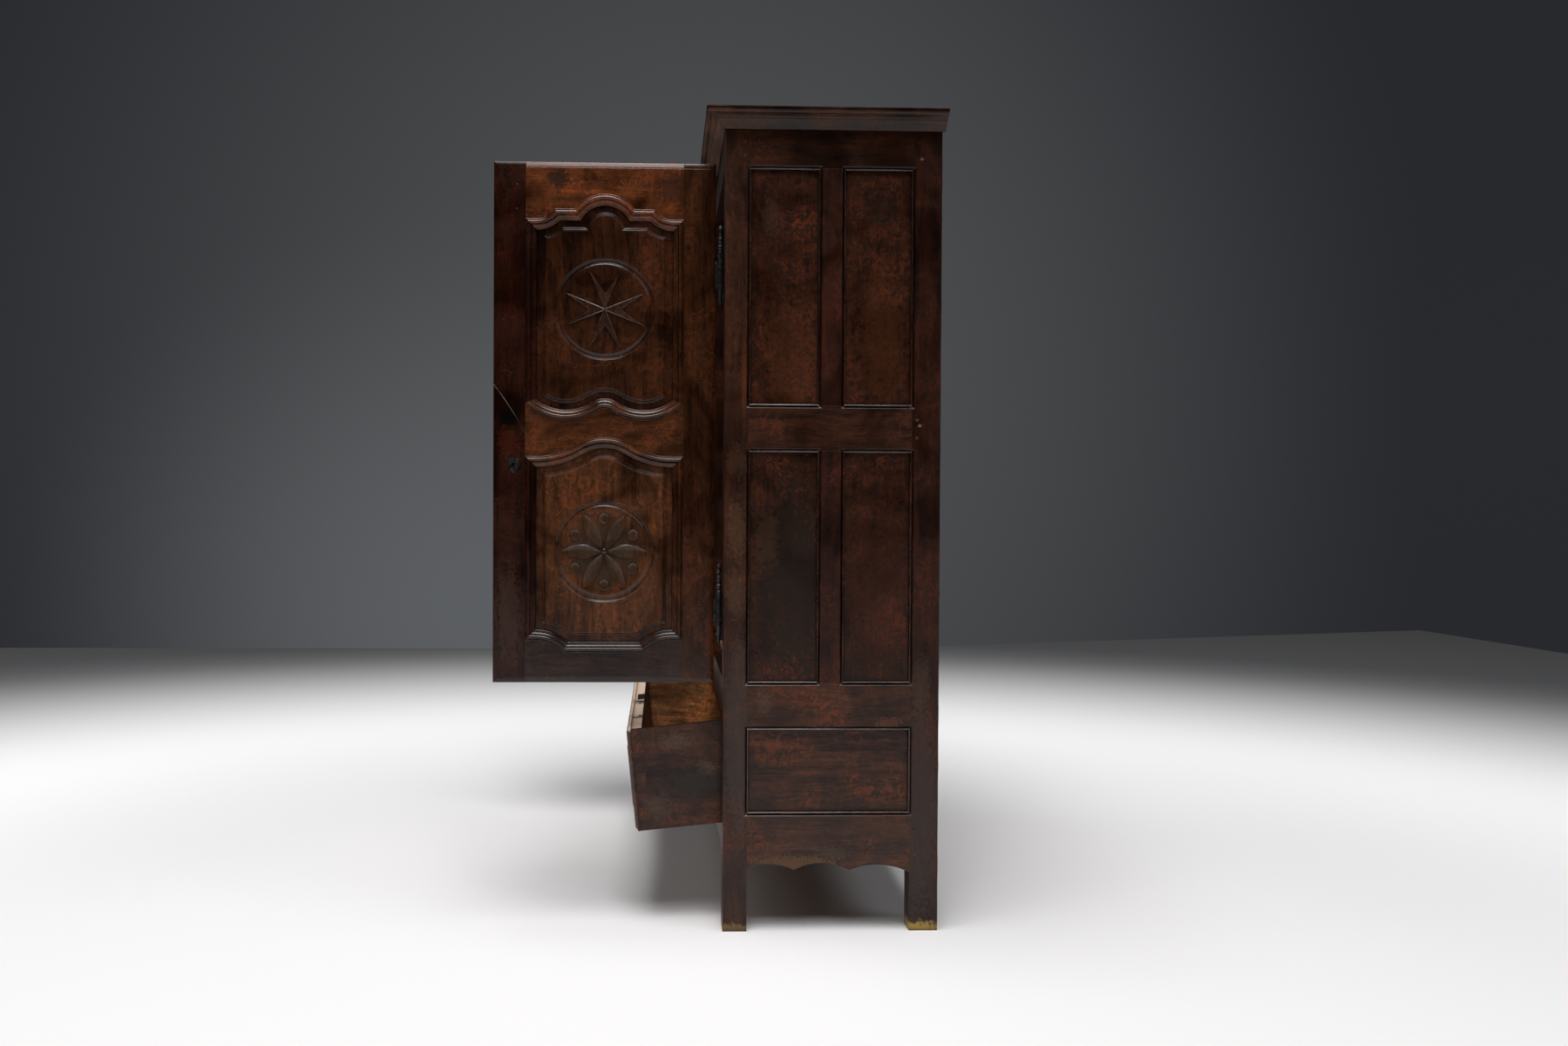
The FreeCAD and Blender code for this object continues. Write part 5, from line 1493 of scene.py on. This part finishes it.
def carcase_boards() -> dict[str, Board]:
    """Lists the walnut boards of the carcase.

    Returns:
        Each node's board.
    """
    upright = Wood(BROWN, burl=0.2)
    side = replace(upright, grain=Grain.DEEP)
    front = replace(upright, grain=Grain.ACROSS)
    worn = Board(upright, merge=WORN_MERGE)
    post = replace(worn, ease=0.003, swell=0.0016, size=0.06, pitch=0.04, wear=0.75)
    post = post.refinished(body=(0.047, 0.0175, 0.0085), dust=0.6, stains=POST_SMEARS)
    rear = replace(worn, ease=0.0036, swell=0.0024, size=0.05, pitch=0.03, wear=0.6)
    rear = rear.refinished(body=(0.037, 0.0108, 0.0042), dust=0.5, stains=REAR_MARKS)
    rail = replace(worn, finish=side, ease=0.0026, wear=0.6)
    panel = Board(replace(upright, burl=0.8, cloud=0.5, flame=0.8, stains=PANEL_PATCHES), swell=0.0012)
    waxed = replace(side, body=(0.05, 0.02, 0.0098), dust=0.4, cloud=0.8)
    cornice = Board(waxed, ease=0.0014, pitch=0.04, wear=0.9)
    return {
        "post_front_right": post,
        "post_front_left": post.refinished(stains=()),
        "post_rear_right": rear,
        "post_rear_left": rear.refinished(stains=()),
        "side_top_rails": rail.refinished(body=DARK),
        "side_middle_rails": rail.refinished(body=(0.05, 0.018, 0.0085)),
        "side_lower_rails": rail.refinished(body=GREYED, stains=RAIL_SCUFFS),
        "side_aprons": rail.refinished(body=GREYED, dust=0.6, stains=APRON_RIM),
        "side_muntins": Board(replace(upright, body=RED, dust=0.4), ease=0.0022),
        "side_panels_right": panel,
        "side_panels_left": panel.refinished(stains=()),
        "side_bottom_panels": Board(replace(side, body=GREYED, contrast=1.3, rough=0.4), swell=0.0012),
        "front_top_rail": Board(front),
        "front_middle_rail": Board(front),
        "front_apron": replace(worn, finish=front),
        "cornice_front": cornice.refinished(body=(0.095, 0.055, 0.04), grain=Grain.ACROSS),
        "cornice_right": cornice,
        "cornice_left": cornice,
        "frame_pegs": Board(replace(side, body=(0.07, 0.034, 0.018)), pitch=0, ease=0, swell=0),
    }


DOOR_UPRIGHT = Wood(BROWN, burl=0.25, rough=0.22, gloss=1.42, nook=0.026)
DOOR_LEVEL = replace(DOOR_UPRIGHT, grain=Grain.DEEP)
LOCK_MARKS = (
    Stain((0.5835, -0.5362, 1.3083), (0.03, 0.028, 0.028), (0.004, 0.0022, 0.0018), 0.95, 0.45),
    Stain((0.5835, -0.516, 1.312), (0.03, 0.012, 0.03), (0.006, 0.003, 0.002), 0.8, 0.5),
    Stain((0.5835, -0.5158, 1.1832), (0.03, 0.02, 0.014), (0.003, 0.002, 0.0018), 0.95, 0.5),
    Stain((0.5835, -0.537, 1.245), (0.03, 0.034, 0.045), (0.075, 0.018, 0.006), 0.45, 0.7),
    Stain((0.5835, -0.5143, 1.9061), (0.01, 0.0026, 0.0009), (0.24, 0.2, 0.17), 0.8, 0.3),
    Stain((0.5835, -0.5155, 1.8438), (0.01, 0.0026, 0.0009), (0.2, 0.17, 0.15), 0.8, 0.3),
    Stain((0.5835, -0.5502, 1.5605), (0.01, 0.0024, 0.0008), (0.16, 0.13, 0.11), 0.7, 0.3),
    Stain((0.5835, -0.5143, 0.6812), (0.01, 0.0022, 0.0009), (0.18, 0.14, 0.12), 0.7, 0.3),
    Stain((0.5835, -0.535, 0.8), (0.03, 0.04, 0.14), (0.06, 0.033, 0.024), 0.5, 0.8),
)
ROSE_MARKS = tuple(
    Stain((side * 0.577, -0.29, 0.965), (0.05, 0.108, 0.108), (0.046, 0.033, 0.022), 0.55, 0.2) for side in (1, -1)
)
TOP_MARKS = (
    Stain((0.5835, -0.41, 1.925), (0.03, 0.035, 0.03), (0.028, 0.014, 0.011), 0.75, 0.8),
    Stain((0.5835, -0.11, 1.9), (0.03, 0.06, 0.05), (0.05, 0.018, 0.009), 0.8, 0.7),
    Stain((0.5835, -0.25, 1.955), (0.03, 0.2, 0.012), (0.14, 0.05, 0.03), 0.5, 0.6),
    Stain((0.5835, -0.22, 1.9), (0.03, 0.04, 0.03), (0.16, 0.055, 0.02), 0.5, 0.8),
)
DOOR_WOODS = {
    "hinge_stile": replace(DOOR_UPRIGHT, body=(0.052, 0.0182, 0.0066)),
    "lock_stile": replace(DOOR_UPRIGHT, body=MAROON, cloud=0.7, flame=0.3, stains=LOCK_MARKS),
    "top_rail": replace(DOOR_LEVEL, body=(0.105, 0.035, 0.013), cloud=0.85, stains=TOP_MARKS),
    "middle_rail": replace(DOOR_LEVEL, body=(0.078, 0.029, 0.0115), cloud=0.75),
    "bottom_rail": replace(DOOR_LEVEL, body=SHEEN, flame=0.1),
    "upper_panel": replace(DOOR_UPRIGHT, body=(0.052, 0.0185, 0.0075), cloud=0.8),
    "lower_panel": replace(DOOR_UPRIGHT, body=(0.082, 0.0325, 0.0135), cloud=0.75, stains=ROSE_MARKS),
}


@dataclass
class Beads:
    """The small rounded edges that frame the panels of one side, in millimetres."""

    hand: Hand
    post: Spot = (78.7, 494.7)
    muntin: Spot = (257.8, 319.8)
    heights: tuple[tuple[float, float, bool], ...] = (
        (1340.0, 1940.0, True),
        (634.0, 1224.0, True),
        (301.0, 517.0, False),
    )
    profile: tuple[Step, ...] = (
        (-0.6, 639.2, 0), (0.2, 640.0, 1), (1.3, 639.6, 1), (2.4, 638.9, 1), (3.3, 637.8, 1), (3.9, 636.2, 0),
        (4.2, 634.0, 0), (4.3, 630.6, 0),
    )

    def build(self) -> None:
        """Makes the edges of all the openings as one piece."""
        points: list[Point] = []
        faces: list[tuple[int, ...]] = []
        strips: list[int] = []
        halves = ((self.post[0], self.muntin[0]), (self.muntin[1], self.post[1]))
        for low, high, split in self.heights:
            for near, far in halves if split else (self.post,):
                faces += weave(len(points), len(self.profile), 4)
                for inset, out, mark in self.profile:
                    start, end, foot, head = near + inset, far - inset, low + inset, high - inset
                    for across, up in ((start, foot), (end, foot), (end, head), (start, head)):
                        points.append((self.hand.value * out / MM, across / MM, up / MM))
                strips += [mark for _, _, mark in self.profile[:-1] for _ in range(4)]
        piece = Bench.make("side_beads_" + self.hand.word, points, faces, strips)
        Bench.outwards(piece, self.hand)
        Bench.edit(piece, partial(bpy.ops.mesh.subdivide, number_cuts=3))
        finish = Wood((0.04, 0.015, 0.0065), burl=0.2, rough=0.24, gloss=1.6)
        Bench.finish(piece, finish, 0.25, "carcase", angle=40)


@dataclass
class Hairlines:
    """The glued scarf and the scratches on the right-hand lock stile, in metres."""

    face: float = 0.58355
    lines: tuple[tuple[float, tuple[Spot, ...]], ...] = (
        (
            0.0011,
            (
                (-0.5792, 1.4018), (-0.5702, 1.3895), (-0.5600, 1.3762), (-0.5478, 1.3590), (-0.5386, 1.3452),
                (-0.5284, 1.3300), (-0.5196, 1.3158), (-0.5120, 1.3030), (-0.5060, 1.2920),
            ),
        ),
        (0.0007, ((-0.5060, 1.2920), (-0.4990, 1.2790), (-0.4900, 1.2630))),
        (0.0006, ((-0.5560, 1.4330), (-0.5420, 1.4300), (-0.5250, 1.4230), (-0.5100, 1.4240))),
        (0.0005, ((-0.5480, 1.4620), (-0.5300, 1.4460), (-0.5150, 1.4330))),
        (0.0005, ((-0.5150, 1.4560), (-0.5020, 1.4520), (-0.5000, 1.4300), (-0.4960, 1.4290))),
    )
    section: tuple[tuple[float, float], ...] = ((-0.0006, 1.3), (0.0002, 0.3), (0.0002, -0.3), (-0.0006, -1.3))

    def build(self) -> None:
        """Lays every line as a thin sliver just proud of the wood."""
        points: list[Point] = []
        faces: list[tuple[int, ...]] = []
        for width, line in self.lines:
            last = len(line) - 1
            for number, (across, up) in enumerate(line):
                ahead = line[min(number + 1, last)]
                behind = line[max(number - 1, 0)]
                run = Vector((ahead[0] - behind[0], ahead[1] - behind[1])).normalized()
                half = width * (0.5 + 0.22 * math.sin(number * 2.4)) * (0.25 if number in (0, last) else 1.0)
                first = len(points)
                for out, share in self.section:
                    points.append((self.face + out, across - run.y * half * share, up + run.x * half * share))
                if number:
                    for corner in range(4):
                        after = (corner + 1) % 4
                        faces.append((first - 4 + corner, first + corner, first + after, first - 4 + after))
                if number in (0, last):
                    faces.append((first, first + 1, first + 2, first + 3))
        piece = Bench.make("lock_stile_hairlines", points, faces)
        Bench.edit(piece, Bench.FACE_OUT)
        Bench.finish(piece, Wood((0.3, 0.2, 0.13), cloud=0.9, rough=0.6), 0.2, "right_door", angle=30)


@dataclass
class Door:
    """One door: its worked frame, its mouldings and its carved panels."""

    hand: Hand
    carving: Carving = field(default_factory=Carving)
    rim_low: float = 1.9525
    rim_slope: Spot = (0.15, 0.95)

    def settle(self, piece: Piece) -> Piece:
        """Moves a piece that was made for the right-hand door to this one.

        Args:
            piece: The piece.

        Returns:
            The same piece.
        """
        if self.hand is Hand.LEFT:
            piece.data.transform(Matrix.Diagonal((-1, 1, 1, 1)))
            piece.data.flip_normals()
        return piece

    def hang(self, piece: Piece, finish: Wood, wear: float, *nodes: str, angle: float = 32) -> None:
        """Finishes a piece and hangs it on the door.

        Args:
            piece: The piece.
            finish: Its finish.
            wear: How much of the arrises is rubbed pale.
            nodes: The CAD nodes that it stands for.
            angle: The largest angle that is shaded as a curve, in degrees.
        """
        Bench.finish(piece, finish, wear, self.hand.word + "_door", *nodes, angle=angle)

    def frame(self) -> None:
        """Works the stiles and rails, takes their plain mouldings off and polishes the top bevel."""
        cutter = self.settle(self.carving.cutter())
        low, high = self.rim_slope
        for member in ("hinge_stile", "lock_stile", "top_rail", "middle_rail", "bottom_rail"):
            node = f"{self.hand.word}_{member}"
            piece = Bench.take(node, WORN_MERGE)
            Bench.ease(piece, 0.0011)
            Bench.modify(piece, "BOOLEAN", object=cutter, operation="DIFFERENCE", solver="EXACT")
            for face in piece.data.polygons:
                if face.center.z > self.rim_low and low < face.normal.z < high:
                    face.material_index = ARRIS
            self.hang(piece, DOOR_WOODS[member], 0.4, node)
        bpy.data.objects.remove(cutter)

    def mouldings(self) -> None:
        """Runs the mouldings round both openings."""
        shapes = self.carving.shapes
        for opening in OPENINGS:
            over, under = opening.rails
            runs = {
                "head": (over, partial(shapes.run, opening.head)),
                "foot": (under, partial(shapes.run, opening.foot)),
                "hinge_side": ("hinge_stile", partial(shapes.side, opening.head, opening.foot, 1)),
                "lock_side": ("lock_stile", partial(shapes.side, opening.head, opening.foot, -1)),
            }
            for place, (member, run) in runs.items():
                piece = self.settle(self.carving.moulding(f"{self.hand.word}_moulding_{opening.name}_{place}", run))
                self.hang(piece, replace(DOOR_WOODS[member], cloud=0.6), 0.55, angle=40)

    def panels(self) -> None:
        """Makes both panels with their medallions."""
        carving = self.carving
        shapes = carving.shapes
        makes = (carving.cross, carving.petals)
        heights = ((shapes.low, shapes.apex), (shapes.foot, shapes.lower_apex))
        for opening, make, (low, high) in zip(OPENINGS, makes, heights):
            name = f"{self.hand.word}_{opening.name}_"
            finish = DOOR_WOODS[opening.name + "_panel"]
            relief = self.settle(carving.field(name + "field", opening))
            self.hang(relief, finish, 0.5, name + "panel", angle=36)
            figure = self.settle(make(name + "figure", opening.hub))
            self.hang(figure, replace(finish, cloud=0.3, rough=0.24, gloss=opening.gloss), 0.55, angle=30)
            board = self.settle(carving.plate(name + "plate", low, high))
            self.hang(board, finish, 0.3, angle=30)

    def build(self) -> None:
        """Builds the whole door."""
        self.frame()
        self.mouldings()
        self.panels()


SIDE_BLOTS = (
    Stain((0.557, -0.023, 0.4), (0.03, 0.03, 0.03), (0.13, 0.095, 0.062), 0.3, 1.0),
    Stain((0.557, -0.1, 0.47), (0.03, 0.05, 0.025), (0.12, 0.075, 0.06), 0.4, 1.0),
    Stain((0.557, -0.05, 0.36), (0.03, 0.09, 0.04), (0.025, 0.019, 0.012), 0.7, 0.9),
    Stain((0.557, -0.15, 0.3), (0.03, 0.05, 0.04), (0.075, 0.045, 0.034), 0.5, 0.9),
)
# On the drawer front: a near-white band along the top edge, part wear and part painted highlight, and two dark spots.
FRONT_CREST_WEAR_AND_HIGHLIGHT = (
    Stain((0.0, -0.2, 0.512), (2.0, 0.12, 0.021), (0.6, 0.44, 0.34), 0.95, 0.1),
    Stain((0.1, -0.2, 0.512), (0.05, 0.03, 0.03), (0.03, 0.017, 0.012), 0.9, 1.0),
    Stain((0.36, -0.2, 0.512), (0.03, 0.03, 0.03), (0.04, 0.02, 0.014), 0.9, 1.0),
)
IRON_NODES = (
    "hinge_knuckles",
    "hinge_pins",
    "right_hinge_leaves",
    "left_hinge_leaves",
    "door_lock",
    "door_escutcheon",
    "left_door_staples",
    "door_lock_bolt",
    "upper_bolt",
    "lower_bolt",
    "drawer_rollers",
    "drawer_lock",
    "drawer_escutcheon",
)
RAW_NODES = {
    Grain.UPRIGHT: ("back_planks",),
    Grain.ACROSS: ("back_rails", "top_boards", "cupboard_floor", "shelves", "drawer_back", "drawer_bottom"),
    Grain.DEEP: ("floor_bearers", "shelf_cleats", "drawer_runners"),
}


def drawer_boards() -> dict[str, Board]:
    """Lists the walnut boards of the drawer and its bare side.

    Returns:
        Each node's board.
    """
    along = Wood(GREYED, grain=Grain.DEEP, burl=0.4, cloud=0.85, dust=0.7, rough=0.42)
    bare = Wood((0.33, 0.155, 0.07), grain=Grain.DEEP, burl=0.3, cloud=0.8, rough=0.55)
    return {
        "drawer_front": Board(replace(along, grain=Grain.ACROSS, stains=FRONT_CREST_WEAR_AND_HIGHLIGHT), merge=WORN_MERGE),
        "drawer_side_right": Board(replace(along, stains=SIDE_BLOTS), ease=0.0022, swell=0.0014, wear=0.9),
        "drawer_side_left": Board(bare, swell=0.0014),
    }


def raw_timber() -> dict[str, Wood]:
    """Lists the hidden boards of bare wood.

    Returns:
        Each node's wood.
    """
    raw = Wood(RAW, cloud=0.4, burl=0.1, rough=0.6, dust=0.3)
    return {node: replace(raw, grain=grain) for grain, nodes in RAW_NODES.items() for node in nodes}


def main() -> None:
    """Builds the room, the camera and every piece of the press."""
    logging.basicConfig(level=logging.INFO, format="%(message)s")
    Viewpoint().build()
    Room().build()
    Joinery("carcase", carcase_boards()).build()
    for hand in Hand:
        Beads(hand).build()
    Door(Hand.RIGHT).build()
    Hairlines().build()
    Door(Hand.LEFT).build()
    Joinery("drawer", drawer_boards()).build()
    PlainNodes("plain_", raw_timber()).build()
    PlainNodes("iron_", dict.fromkeys(IRON_NODES, Iron())).build()
    bpy.context.scene.view_settings.view_transform = "Standard"


if __name__ == "__main__":
    main()
